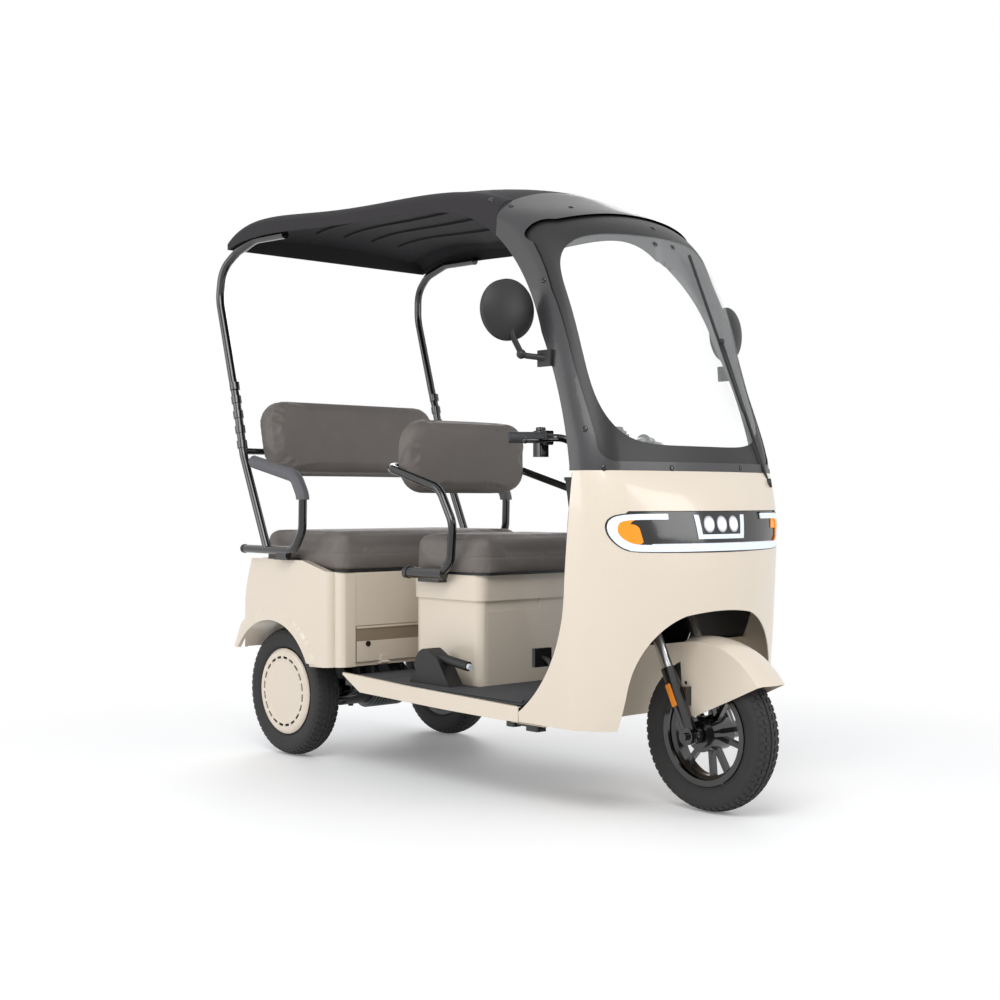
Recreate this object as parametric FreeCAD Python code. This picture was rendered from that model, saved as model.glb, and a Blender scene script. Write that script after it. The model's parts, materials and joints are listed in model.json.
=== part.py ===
"""Electric passenger tricycle: open sides, moulded fairing, windscreen, roof, two seats.

Working frame, in millimetres: x = 0 at the rear axle, +X forward, +Y to the vehicle's
left, z = 0 on the ground. At the end everything is moved so that the origin is the
centre of the bounding box's bottom.
"""
import FreeCAD
import Part
import math
import os

V = FreeCAD.Vector
X_AXIS, Y_AXIS, Z_AXIS = V(1, 0, 0), V(0, 1, 0), V(0, 0, 1)
SIDES = {"left": 1, "right": -1}

# Wheels and running gear
WHEELBASE = 1505
TYRE_R = 210
TYRE_W = 88
RIM_R = 140
RIM_WALL = 5
RIM_W = 70
HALF_TRACK = 328
AXLE_R = 10
SPIN_GAP = 0.05
FRONT_HUB_R = 48
FRONT_HUB_W = 104
REAR_HUB_R = 46
DRUM_R = 82
HUBCAP_Y = 373.5
HUBCAP_SLOTS = 20
AXLE_TUBE_R = 24
MOTOR_R = 82
MOTOR_W = 150
SPRING_Y = 190
SPRING_HALF = 192

# Steering and fork
RAKE = 25.5
FORK_Y = 80
STANCHION_R = 15
SLIDER_R = 20
CROWN_BACK = 36
STEERER_R = 15
STEERER_GAP = 0.05
HEAD_R = 24
HEAD_LOW_Z = 560
HEAD_LEN = 150
BAR_Z = 985
BAR_R = 11
GRIP_R = 16
GRIP_LEN = 104
GRIP_END = (1018, 290, 1013)

# Floor and frame
RAIL_Y = 150
RAIL_W = 40
RAIL_H = 45
UPRIGHT_X = -128
FLOOR_Z = 285
FLOOR_T = 5
MAT_T = 6
FLOOR_W = 364
SKIRT_Y = 376
SKIRT_TOP = 280
SKIRT_LOW = 236
SKIRT_REAR = 336
SKIRT_FRONT = 1146

# Front fairing, windscreen frame and roof
SHELL = 4
FAIRING_TOP = 914
SEAM_X = 1010
LENS_FACE = 2.5
LENS_GAP = 0.3
LAMP_FACE = 5
LAMP_BACK = 26
ROOF_T = 6
ROOF_REAR = -262

# Rear body
BODY_Y = 415
BODY_T = 5
BODY_FRONT = 335
BODY_TOP = 645
BENCH_SHELF = 612
ARCH_R = 236
FLARE_OUT = 13
FLARE_W = 52
WELL_Y = 262
PILLAR_Y = 333

# Roof posts and rear armrests
POST_Y = 431
POST_R = 14
PAD_R = 21

# Seats
BENCH_X = (-98, 342)
BENCH_Y = 386
BENCH_TOP = 736
BENCH_BACK_Y = 369
BENCH_BACK_Z = (912, 1176)
BENCH_BACK_T = 60
BOX_X = (506, 832)
BOX_Y = 240
BOX_T = 4
BOX_TOP = 625
BAND_Z = 540
SEAT_X = (512, 858)
SEAT_Y = 250
SEAT_TOP = 732
LID_T = 7
LID_GAP = 0.5
BACK_X = 425
BACK_Y = 254
BACK_Z = (856, 1092)
BACK_T = 56
ARM_Y = 277
ARM_R = 13

# Hinges: a pin in two lugs, and a sleeve that turns on it
PIN_R = 2.5
PIN_GAP = 0.2
HINGE_W = 14
BENCH_HINGE = (BENCH_X[0] - 6, BODY_TOP + 6)
SEAT_HINGE = (BOX_X[1] + 6, BOX_TOP - 5.5)
DOOR_HINGE = (BODY_FRONT + 11, 324)

# Mirrors
MIRROR_R = 82
MIRROR_Y = 450
MIRROR_Z = 1342
MIRROR_X = 1190

NODES = {}


def node(name, *solids):
    """Keep a sub-part: one solid, or several that do not touch."""
    NODES[name] = solids[0] if len(solids) == 1 else Part.makeCompound(list(solids))


def fuse(first, *others):
    return first.fuse(list(others)).removeSplitter() if others else first


def box(x0, x1, y0, y1, z0, z1):
    return Part.makeBox(x1 - x0, y1 - y0, z1 - z0, V(x0, y0, z0))


def cyl(start, end, radius):
    start, end = V(*start), V(*end)
    return Part.makeCylinder(radius, (end - start).Length, start, end - start)


def cyl_y(x, z, y0, y1, radius):
    return cyl((x, min(y0, y1), z), (x, max(y0, y1), z), radius)


def mirrored(shape):
    return shape.mirror(V(0, 0, 0), Y_AXIS)


def closed_wire(points):
    """A wire of lines through (x, y, z) points; a point given as ("arc", mid, end) bends."""
    edges = []
    here = V(*points[0])
    for item in list(points[1:]) + [points[0]]:
        if item[0] == "arc":
            mid, there = V(*item[1]), V(*item[2])
            edges.append(Part.Arc(here, mid, there).toShape())
        else:
            there = V(*item)
            if (there - here).Length < 1e-6:
                continue
            edges.append(Part.LineSegment(here, there).toShape())
        here = there
    return Part.Wire(edges)


def prism_y(outline, y0, y1):
    """Extrude an (x, z) outline between two y planes."""
    lift = [("arc", (p[1][0], y0, p[1][1]), (p[2][0], y0, p[2][1])) if p[0] == "arc"
            else (p[0], y0, p[1]) for p in outline]
    return Part.Face(closed_wire(lift)).extrude(V(0, y1 - y0, 0))


def prism_x(outline, x0, x1):
    """Extrude a (y, z) outline between two x planes."""
    lift = [("arc", (x0, *p[1]), (x0, *p[2])) if p[0] == "arc" else (x0, *p) for p in outline]
    return Part.Face(closed_wire(lift)).extrude(V(x1 - x0, 0, 0))


def prism_z(outline, z0, z1):
    """Extrude an (x, y) outline between two z planes."""
    lift = [("arc", (*p[1], z0), (*p[2], z0)) if p[0] == "arc" else (*p, z0) for p in outline]
    return Part.Face(closed_wire(lift)).extrude(V(0, 0, z1 - z0))


def revolve_y(profile, x, z, angle=360):
    """Turn a (radius, y) profile about the Y axis through (x, z)."""
    lift = [("arc", (x + p[1][0], p[1][1], z), (x + p[2][0], p[2][1], z)) if p[0] == "arc"
            else (x + p[0], p[1], z) for p in profile]
    return Part.Face(closed_wire(lift)).revolve(V(x, 0, z), Y_AXIS, angle)


def fillet_along(shape, direction, radius):
    """Round every straight edge of a block that runs along one axis."""
    axis = V(*direction)
    picked = []
    for edge in shape.Edges:
        span = edge.Vertexes[-1].Point - edge.Vertexes[0].Point
        if span.Length > 1e-6 and abs(abs(span.normalize().dot(axis)) - 1) < 1e-6:
            picked.append(edge)
    return shape.makeFillet(radius, picked)


def tube(points, radius, bend, bore=0):
    """A round tube along a path of straight runs joined by tangent arcs."""
    pts = [V(*p) for p in points]
    bends = bend if isinstance(bend, list) else [bend] * (len(pts) - 2)
    edges, here = [], pts[0]
    for before, corner, after, bend in zip(pts, pts[1:], pts[2:], bends):
        arrive = (corner - before).normalize()
        leave = (after - corner).normalize()
        turn = arrive.getAngle(leave)
        reach = min(bend * math.tan(turn / 2), 0.48 * (corner - before).Length,
                    0.48 * (after - corner).Length)
        r = reach / math.tan(turn / 2)
        start, end = corner - arrive * reach, corner + leave * reach
        inward = (leave - arrive).normalize()
        middle = corner + inward * (r / math.cos(turn / 2) - r)
        edges.append(Part.LineSegment(here, start).toShape())
        edges.append(Part.Arc(start, middle, end).toShape())
        here = end
    edges.append(Part.LineSegment(here, pts[-1]).toShape())
    path = Part.Wire(edges)
    ring = Part.Wire(Part.makeCircle(radius, pts[0], pts[1] - pts[0]))
    solid = path.makePipeShell([ring], True, False)
    if bore:
        inner = Part.Wire(Part.makeCircle(bore, pts[0], pts[1] - pts[0]))
        solid = solid.cut(path.makePipeShell([inner], True, False))
    return solid


def rounded_slab(x0, x1, y0, y1, z0, z1, corner, edge):
    """A cushion-like block: rounded plan corners, softer top and bottom rims."""
    block = fillet_along(box(x0, x1, y0, y1, z0, z1), (0, 0, 1), corner)
    rims = [e for e in block.Edges if e.BoundBox.ZLength < 1e-3 and abs(e.BoundBox.ZMax - z1) < 1e-3]
    return block.makeFillet(edge, rims)


# Wheels: each is a tyre on a rim; the rear ones carry a slotted cover

BEAD_R = RIM_R - 11
WELL_R = BEAD_R - 11


def tyre(x, y):
    half = TYRE_W / 2
    bead = RIM_W / 2 - 5
    profile = [(BEAD_R + 0.3, y - bead), (RIM_R + 1, y - bead), (RIM_R + 9, y - half + 6),
               ("arc", ((RIM_R + TYRE_R) / 2, y - half), (TYRE_R - 12, y - half + 7)),
               ("arc", (TYRE_R, y), (TYRE_R - 12, y + half - 7)),
               ("arc", ((RIM_R + TYRE_R) / 2, y + half), (RIM_R + 9, y + half - 6)),
               (RIM_R + 1, y + bead), (BEAD_R + 0.3, y + bead)]
    return revolve_y(profile, x, TYRE_R)


def rim_barrel(x, y):
    out, seat = RIM_W / 2, RIM_W / 2 - 4
    outer = [(RIM_R, out), (RIM_R, seat), (BEAD_R, seat - 1), (BEAD_R, 18), (WELL_R, 12)]
    inner = [(BEAD_R - RIM_WALL, out), (BEAD_R - RIM_WALL, 20), (WELL_R - RIM_WALL, 14)]
    ring = outer + [(r, -w) for r, w in reversed(outer)]
    ring += [(r, -w) for r, w in inner] + [(r, w) for r, w in reversed(inner)]
    return revolve_y([(r, y + w) for r, w in ring], x, TYRE_R)


def front_rim():
    spin = cyl_y(WHEELBASE, TYRE_R, -FRONT_HUB_W, FRONT_HUB_W, AXLE_R + SPIN_GAP)
    hub = cyl_y(WHEELBASE, TYRE_R, -FRONT_HUB_W / 2, FRONT_HUB_W / 2, FRONT_HUB_R - 12)
    drum = cyl_y(WHEELBASE, TYRE_R, -FRONT_HUB_W / 2 + 10, FRONT_HUB_W / 2 - 10, FRONT_HUB_R)
    spokes = []
    for k in range(5):
        for lean in (-13, 13):
            bar = box(FRONT_HUB_R - 10, WELL_R - 2, -9, 9, -6.5, 6.5)
            bar.rotate(V(0, 0, 0), Y_AXIS, 72 * k + lean)
            bar.translate(V(WHEELBASE, 0, TYRE_R))
            spokes.append(bar)
    return fuse(rim_barrel(WHEELBASE, 0), hub, drum, *spokes).cut(spin)


def rear_rim():
    y = HALF_TRACK
    web = cyl_y(0, TYRE_R, y + 4, y + 11, WELL_R - 2)
    drum = cyl_y(0, TYRE_R, y - 60, y + 6, DRUM_R).cut(cyl_y(0, TYRE_R, y - 61, y + 4, DRUM_R - 6))
    hub = cyl_y(0, TYRE_R, y - 48, y + 18, REAR_HUB_R)
    spin = cyl_y(0, TYRE_R, y - 99, y + 99, AXLE_R + SPIN_GAP)
    vents = []
    for k in range(10):
        hole = cyl_y(WELL_R - 17, 0, y, y + 20, 9)
        hole.rotate(V(0, 0, 0), Y_AXIS, 36 * k)
        hole.translate(V(0, 0, TYRE_R))
        vents.append(hole)
    return fuse(rim_barrel(0, y), web, drum, hub).cut(spin).cut(Part.makeCompound(vents))


def hubcap():
    y, edge = HUBCAP_Y, HALF_TRACK + RIM_W / 2 + 0.3
    profile = [(0, y - 4), (92, y - 3), ("arc", (100, y - 2), (106, y)), (120, y),
               ("arc", (134, y - 3), (RIM_R, edge + 2)), (RIM_R, edge), (130, edge),
               (118, y - 4), (106, y - 4), (92, y - 7), (0, y - 8)]
    disc = revolve_y(profile, 0, TYRE_R)
    pitch = 360 / HUBCAP_SLOTS
    slots = []
    for k in range(HUBCAP_SLOTS):
        arc = revolve_y([(107, y - 9), (115, y - 9), (115, y + 5), (107, y + 5)], 0, TYRE_R,
                        pitch * 0.7)
        arc.rotate(V(0, 0, TYRE_R), Y_AXIS, k * pitch)
        slots.append(arc)
    return disc.cut(Part.makeCompound(slots))


node("front_tyre", tyre(WHEELBASE, 0))
node("front_rim", front_rim())
for side, sign in SIDES.items():
    for name, shape in (("rear_tyre", tyre(0, HALF_TRACK)), ("rear_rim", rear_rim()),
                        ("rear_hubcap", hubcap())):
        node(f"{name}_{side}", shape if sign > 0 else mirrored(shape))


# Rear axle with its motor, springs and dampers

def axle_half():
    inner = HALF_TRACK - 62
    stub = cyl_y(0, TYRE_R, 0, HALF_TRACK + 27, AXLE_R)
    plate = cyl_y(0, TYRE_R, inner - 8, inner - 2, DRUM_R - 2)
    boss = cyl_y(0, TYRE_R, inner - 16, HALF_TRACK - 48.5, AXLE_R + 14)
    nut = cyl_y(0, TYRE_R, HALF_TRACK + 18.5, HALF_TRACK + 26, AXLE_R + 6)
    seat = box(-32, 32, SPRING_Y - 30, SPRING_Y + 30, TYRE_R - AXLE_TUBE_R - 6, TYRE_R)
    return [stub, plate, boss, nut, seat]


def rear_axle():
    half = axle_half()
    tubes = cyl_y(0, TYRE_R, -HALF_TRACK + 70, HALF_TRACK - 70, AXLE_TUBE_R)
    gearbox = cyl_y(0, TYRE_R, -150, -52, 66)
    drain = cyl((0, -100, TYRE_R - 72), (0, -100, TYRE_R - 60), 9)
    return fuse(tubes, gearbox, drain, *half, *[mirrored(s) for s in half])


def drive_motor():
    core = cyl_y(0, TYRE_R, -51.7, -51.7 + MOTOR_W, MOTOR_R - 7)
    fins = [cyl_y(0, TYRE_R, y, y + 6, MOTOR_R) for y in range(-44, -44 + MOTOR_W - 20, 14)]
    return fuse(core, *fins).cut(cyl_y(0, TYRE_R, -200, 200, AXLE_TUBE_R + 0.3))


def leaf_spring():
    low, high = TYRE_R - AXLE_TUBE_R - 6.3, TYRE_R + 22
    leaves = []
    for k, half in enumerate((SPRING_HALF, SPRING_HALF * 0.72, SPRING_HALF * 0.45)):
        bow = (high - low) * (half / SPRING_HALF) ** 2
        top, under = low - 6.2 * k, low - 6.2 * (k + 1)
        outline = [(-half, top + bow), (-34, top), (34, top), (half, top + bow),
                   (half, under + bow), (34, under), (-34, under), (-half, under + bow)]
        leaves.append(prism_y(outline, SPRING_Y - 22, SPRING_Y + 22))
    eyes = [cyl_y(s * SPRING_HALF, high + 6, SPRING_Y - 22, SPRING_Y + 22, 13) for s in (-1, 1)]
    clamp = box(-24, 24, SPRING_Y - 28, SPRING_Y + 28, low - 30, low - 0.3)
    return fuse(leaves[0], *leaves[1:], *eyes, clamp)


def damper():
    y = SPRING_Y + 46
    low, top = (-AXLE_TUBE_R - 11.4, y, TYRE_R), (UPRIGHT_X + 41.3, y, 345)
    mid = tuple(a + 0.52 * (b - a) for a, b in zip(low, top))
    body = cyl(tuple(a + 0.1 * (b - a) for a, b in zip(low, top)), mid, 16)
    rod = cyl(low, top, 6)
    eyes = [cyl_y(p[0], p[2], y - 10, y + 10, 11) for p in (low, top)]
    return fuse(body, rod, *eyes)


node("rear_axle", rear_axle())
node("drive_motor", drive_motor())
node("rear_suspension", leaf_spring(), mirrored(leaf_spring()), damper(), mirrored(damper()))


# Steering: a raked axis behind the fork, carried by the frame's head tube

TAN_R = math.tan(math.radians(RAKE))
COS_R = math.cos(math.radians(RAKE))
CROWN_Z = 522
CROWN_T = 26
SLIDER_TOP = 384


def fork_x(z):
    return WHEELBASE - (z - TYRE_R) * TAN_R


def axis_x(z):
    return fork_x(z) - CROWN_BACK / COS_R


def raked(shape, z):
    """Put a shape made about the Z axis on the steering axis at a height."""
    shape.rotate(V(0, 0, 0), Y_AXIS, -RAKE)
    shape.translate(V(axis_x(z), 0, z))
    return shape


def along_axis(low, high, radius):
    return cyl((axis_x(low), 0, low), (axis_x(high), 0, high), radius)


def fork():
    legs = []
    for y in (-FORK_Y, FORK_Y):
        low = TYRE_R - 16
        legs.append(cyl((fork_x(low), y, low), (fork_x(SLIDER_TOP), y, SLIDER_TOP), SLIDER_R))
        top = CROWN_Z + CROWN_BACK * TAN_R * COS_R + CROWN_T / 2 + 4
        legs.append(cyl((fork_x(SLIDER_TOP), y, SLIDER_TOP), (fork_x(top), y, top), STANCHION_R))
        legs.append(cyl_y(WHEELBASE, TYRE_R, y - SLIDER_R - 3, y + SLIDER_R + 3, AXLE_R + 13))
        inner = math.copysign(FORK_Y - SLIDER_R - 2.5, y)
        legs.append(box(1452, 1486, min(inner, y), max(inner, y), 288, 338))
    axle = cyl_y(WHEELBASE, TYRE_R, -FORK_Y - 34, FORK_Y + 34, AXLE_R)
    crown = box(-34, CROWN_BACK + 26, -FORK_Y - 24, FORK_Y + 24, -CROWN_T / 2, CROWN_T / 2)
    crown = raked(fillet_along(crown, (0, 0, 1), 20), CROWN_Z)
    steerer = along_axis(CROWN_Z, BAR_Z - 16, STEERER_R)
    locknut = along_axis(HEAD_LOW_Z + HEAD_LEN + 1, HEAD_LOW_Z + HEAD_LEN + 13, HEAD_R)
    return fuse(crown, steerer, locknut, axle, *legs)


def handlebar():
    x = axis_x(BAR_Z)
    half = [(x, 0, BAR_Z), (x + 10, 95, BAR_Z + 6), (x + 4, 165, BAR_Z + 28), GRIP_END]
    right = [(p[0], -p[1], p[2]) for p in reversed(half[1:])]
    bar = tube(right + half[1:], BAR_R, 60)
    stem = along_axis(BAR_Z - 62, BAR_Z + 14, HEAD_R - 2)
    return fuse(stem, bar).cut(along_axis(BAR_Z - 80, BAR_Z - 15.5, STEERER_R + 0.3))


def grip_frame():
    """Two points on the straight end of the left bar, and the way along it."""
    end = V(*GRIP_END)
    start = V(axis_x(BAR_Z) + 4, 165, BAR_Z + 28)
    return end, (end - start).normalize()


def grip():
    end, way = grip_frame()
    start = end - way * GRIP_LEN
    sleeve = Part.makeCylinder(GRIP_R, GRIP_LEN + 4, start, way)
    collar = Part.makeCylinder(GRIP_R + 4, 6, start, way)
    return fuse(sleeve, collar).cut(Part.makeCylinder(BAR_R + 0.3, GRIP_LEN + 3, start - way * 2.7, way))


def brake_lever():
    end, way = grip_frame()
    start = end - way * (GRIP_LEN + 18)
    clamp = Part.makeCylinder(GRIP_R + 5, 17, start, way)
    clamp = clamp.cut(Part.makeCylinder(BAR_R + 0.3, 40, start - way * 5, way))
    pivot = start + way * 8 + V(34, 4, -6)
    arm = Part.makeCylinder(7, (pivot - start).Length - BAR_R, pivot, start + way * 8 - pivot)
    tip = end + V(46, 0, -10) - way * 12
    blade = tube([pivot, (pivot + tip) * 0.5 + V(12, 4, 0), tip], 6, 90)
    knob = Part.makeSphere(9, tip)
    bar = Part.makeCylinder(BAR_R + 0.4, GRIP_LEN + 60, end - way * (GRIP_LEN + 60), way)
    return fuse(clamp, arm, blade, knob).cut(bar)


def instrument_pod():
    pod = fillet_along(box(-34, 34, -92, 92, 16.5, 58), (0, 0, 1), 18)
    return raked(pod, BAR_Z)


def reflector():
    side = FORK_Y + SLIDER_R
    lens = box(-7, 7, side + 0.2, side + 7, -31, 31)
    lens.rotate(V(0, 0, 0), Y_AXIS, -RAKE)
    return lens.translated(V(fork_x(315), 0, 315))


def fender():
    """A deep front mudguard: a crowned section turned about the wheel, trimmed at the side."""
    r, half, t = TYRE_R + 51, 57, 3
    low = 40
    side = r - 12
    profile = [(low, -half), (side, -half), ("arc", (r, 0), (side, half)), (low, half),
               (low, half - t), (side - 2, half - t), ("arc", (r - t, 0), (side - 2, t - half)),
               (low, t - half)]
    ring = revolve_y(profile, WHEELBASE, TYRE_R)
    keep = prism_y([(1714, 356), (1640, 322), (1492, 256), (1452, 322), (1447, 400),
                    (1462, 480), (1560, 520), (1760, 500), (1760, 356)], -90, 90)
    return ring.common(keep)


node("fork", fork())
node("handlebar", handlebar())
node("handlebar_grips", grip(), mirrored(grip()))
node("brake_levers", brake_lever(), mirrored(brake_lever()))
node("instrument_pod", instrument_pod())
node("front_fender", fender())
node("fork_reflectors", reflector(), mirrored(reflector()))


# Frame: two rails, cross members, head tube with down tubes, hoops under the seats

RAIL_TOP = FLOOR_Z - FLOOR_T - 0.3
RAIL_LOW = RAIL_TOP - RAIL_H
REAR_RAIL = 322
REAR_FRAME_Y = 232
SEAT_RAIL_Z = 606


def rail(y):
    outline = [(1150, RAIL_LOW), (1150, RAIL_TOP), (318, RAIL_TOP), (250, REAR_RAIL + RAIL_H),
               (-212, REAR_RAIL + RAIL_H), (-212, REAR_RAIL), (228, REAR_RAIL), (296, RAIL_LOW)]
    return prism_y(outline, y - RAIL_W / 2, y + RAIL_W / 2)


def chassis():
    pieces = [rail(-RAIL_Y), rail(RAIL_Y)]
    for x in (372, 690, 1090):
        pieces.append(box(x, x + 34, -FLOOR_W + 12, FLOOR_W - 12, RAIL_TOP - 30, RAIL_TOP))
    for x in (UPRIGHT_X, 214):
        pieces.append(box(x, x + 30, -REAR_FRAME_Y - 15, REAR_FRAME_Y + 15, REAR_RAIL + 8,
                          REAR_RAIL + RAIL_H))
    for side in (-1, 1):
        y = side * REAR_FRAME_Y
        for x in (UPRIGHT_X, 214):
            pieces.append(box(x, x + 30, y - 15, y + 15, REAR_RAIL + 10, SEAT_RAIL_Z))
        pieces.append(box(UPRIGHT_X, 244, y - 15, y + 15, SEAT_RAIL_Z - 30, SEAT_RAIL_Z))
        for x in (-100, 62):
            y0, y1 = sorted((y, side * (BODY_Y - BODY_T - 4)))
            pieces.append(box(x, x + 60, y0, y1, SEAT_RAIL_Z - 30, SEAT_RAIL_Z))
        for x, low in ((-SPRING_HALF, 20), (SPRING_HALF, 16)):
            hanger = box(x - 16, x + 16, side * SPRING_Y - 32, side * SPRING_Y - 23,
                         TYRE_R + low, REAR_RAIL + 10)
            pieces.append(hanger)
            pieces.append(hanger.translated(V(0, 55, 0)))
            pieces.append(box(x - 16, x + 16, min(side * RAIL_Y, side * SPRING_Y + 32 * side),
                              max(side * RAIL_Y, side * SPRING_Y + 32 * side), REAR_RAIL,
                              REAR_RAIL + 10))
        pieces.append(tube([(1120, side * 110, RAIL_LOW + 20), (1190, side * 100, RAIL_LOW + 22),
                            (1203, side * 44, 500),
                            (axis_x(HEAD_LOW_Z + 95) - 14, side * 12, HEAD_LOW_Z + 95)], 15, 110))
    pieces.append(box(-186, 240, -212, 212, REAR_RAIL + RAIL_H - 2, REAR_RAIL + RAIL_H + 4))
    head = along_axis(HEAD_LOW_Z, HEAD_LOW_Z + HEAD_LEN, HEAD_R)
    gusset = prism_y([(axis_x(600) - 12, 600), (axis_x(680) - 12, 680), (1205, 560),
                      (1215, 470)], -4, 4)
    frame = fuse(pieces[0], *pieces[1:], head, gusset)
    return frame.cut(along_axis(HEAD_LOW_Z - 30, HEAD_LOW_Z + HEAD_LEN + 30,
                                STEERER_R + STEERER_GAP))


node("chassis_frame", chassis())


# Moulded skins: each height has a bow-shaped outline of a nose arc and two corner arcs

# height, nose x, depth of the bow, half width
FAIRING_ROWS = [(228, 1500, 186, 372), (400, 1537, 206, 384), (633, 1552, 212, 388),
                (785, 1545, 195, 386), (914, 1490, 140, 380)]
SCREEN_ROWS = [(914, 1490, 140, 380), (1066, 1460, 150, 373), (1285, 1414, 176, 360),
               (1450, 1384, 212, 347), (1540, 1349, 238, 339), (1612, 1286, 256, 333),
               (1670, 1162, 258, 326), (1712, 1062, 236, 306), (1738, 980, 205, 262)]
CORNER_SHARE = 0.78


def bow_wire(z, nose, depth, half, back, inset=0):
    """Nose arc, two tangent corner arcs, straight sides and a straight back."""
    nose, depth, half = nose - inset, depth - inset, half - inset
    r2 = CORNER_SHARE * depth
    swing = 2 * math.atan((depth - r2) / (half - r2))
    side_x, yc = nose - depth, half - r2

    def corner(angle):
        return (side_x + r2 * math.sin(angle), yc + r2 * math.cos(angle), z)

    def flip(p):
        return (p[0], -p[1], p[2])

    turn = math.pi / 2 - swing
    mid, join = corner(turn / 2), corner(turn)
    return closed_wire([(back, -half, z), (side_x, -half, z), ("arc", flip(mid), flip(join)),
                        ("arc", (nose, 0, z), join), ("arc", mid, (side_x, half, z)),
                        (back, half, z)])


def bow_loft(rows, back, inset=0):
    """A smooth solid through the outlines; the inset may grow towards the top."""
    wires = []
    for z, nose, depth, half in rows:
        step = inset(z) if callable(inset) else inset
        wires.append(bow_wire(z, nose, depth, half, back, step))
    return Part.makeLoft(wires, True, False)


def screen_inset(z):
    return 5 if z < 1500 else 5 + (z - 1500) * 0.07


FAIRING_BACK = [(1146, 236), (1146, 263), ("arc", (1270, 388), (1336, 610)), (1360, 914)]
ARCH = [(-302, 200), (-290, 340), ("arc", (-236, 466), (-130, 532)), ("arc", (0, 542), (130, 532)),
        ("arc", (236, 466), (290, 340)), (302, 200)]
LAMP_BAND = [(-300, 706), ("arc", (-326, 750), (-300, 808)), (300, 808),
             ("arc", (326, 750), (300, 706))]


def front_of(outline, y_half=460, far=1800):
    """A cutter: everything in front of a side-view line, which runs upwards."""
    first, last = outline[0], outline[-1]
    return prism_y(outline + [(far, last[1]), (far, first[1])], -y_half, y_half)


def lamp_prism(grow=0):
    grown = []
    for p in LAMP_BAND:
        if p[0] == "arc":
            grown.append(("arc", (p[1][0] + math.copysign(grow, p[1][0]), p[1][1]),
                          (p[2][0] + math.copysign(grow, p[2][0]),
                           p[2][1] + math.copysign(grow, p[2][1] - 757))))
        else:
            grown.append((p[0] + math.copysign(grow, p[0]), p[1] + math.copysign(grow, p[1] - 757)))
    return prism_x(grown, 1200, 1800)


def front_fairing():
    shell = bow_loft(FAIRING_ROWS, 1000).cut(bow_loft(FAIRING_ROWS, 990, SHELL))
    shell = shell.common(front_of(FAIRING_BACK))
    return shell.cut(prism_x(ARCH, 1180, 1800)).cut(lamp_prism(0.4))


def headlamp_housing():
    band = bow_loft(FAIRING_ROWS, 1000, LAMP_FACE).cut(bow_loft(FAIRING_ROWS, 990, LAMP_BACK))
    return band.common(lamp_prism())


def lens_layer(*outlines):
    """Lenses that stand on the housing and follow its bow."""
    inner = bow_loft(FAIRING_ROWS, 990, LAMP_FACE - LENS_GAP)
    layer = bow_loft(FAIRING_ROWS, 1000, LENS_FACE).cut(inner)
    return [layer.common(prism_x(outline, 1300, 1800)) for outline in outlines]


def oval(y, z, half_y, half_z):
    return [(y + half_y, z), ("arc", (y, z + half_z), (y - half_y, z)),
            ("arc", (y, z - half_z), (y + half_y, z))]


def lamp_lenses():
    strip = [(-252, 709), (292, 709), ("arc", (311, 726), (316, 750)), (304, 750),
             ("arc", (300, 732), (286, 723)), (-236, 723)]
    cradle = [(-92, 734), (92, 734), (102, 798), (86, 798), (78, 746), (-78, 746), (-86, 798),
              (-102, 798)]
    lamps = [oval(y, 773, 19, 22) for y in (-50, 0, 50)]
    return lens_layer(strip, cradle, *lamps)


def indicator_lenses():
    outline = [(-318, 742), ("arc", (-312, 718), (-288, 711)), (-262, 728), (-272, 764),
               ("arc", (-304, 772), (-318, 742))]
    far = [(262, 760), (312, 758), (306, 786), (266, 790)]
    return lens_layer(outline, far)


node("front_fairing", front_fairing())
node("headlamp_housing", headlamp_housing())
node("lamp_lenses", *lamp_lenses())
node("indicator_lenses", *indicator_lenses())


# Windscreen frame, its glass and the roof panel

SCREEN_BACK = [(1348, 905), (1348, 925), ("arc", (1300, 1112), (1222, 1285)),
               ("arc", (1120, 1470), (972, 1604)), ("arc", (915, 1636), (826, 1657)),
               (700, 1662)]
GLASS_HOLE = [(-300, 938), ("arc", (-334, 948), (-345, 985)), (-347, 1200), (-344, 1400),
              (-333, 1540), ("arc", (-320, 1590), (-270, 1606)), ("arc", (0, 1640), (270, 1606)),
              ("arc", (320, 1590), (333, 1540)), (344, 1400), (347, 1200), (345, 985),
              ("arc", (334, 948), (300, 938))]
GLASS_BORDER = 20
GLASS_BACK = 26
GLASS_T = 4
# x, half width, heights of the lip and side edge, shoulder's width and height, crown
ROOF_ROWS = [(SEAM_X, 332, 1572, 1622, 60, 1683, 1732), (850, 350, 1657, 1684, 64, 1726, 1766),
             (560, 388, 1682, 1708, 64, 1738, 1780), (150, 426, 1697, 1731, 56, 1753, 1782),
             (-120, 434, 1700, 1736, 52, 1762, 1780), (ROOF_REAR, 424, 1684, 1702, 60, 1730, 1750)]
RIB_DEPTH = 7


def screen_solid(inset=0):
    return bow_loft(SCREEN_ROWS, 700, inset)


def screen_frame():
    shell = screen_solid().cut(bow_loft(SCREEN_ROWS, 690, screen_inset))
    keep = prism_y(SCREEN_BACK[:-1] + [(826, 1700), (SEAM_X, 1700), (SEAM_X, 1760),
                                       (1800, 1760), (1800, 905)], -460, 460)
    keep = keep.common(box(SEAM_X + 0.3, 1800, -460, 460, 900, 1800))
    return shell.common(keep).cut(prism_x(GLASS_HOLE, 1040, 1800))


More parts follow.
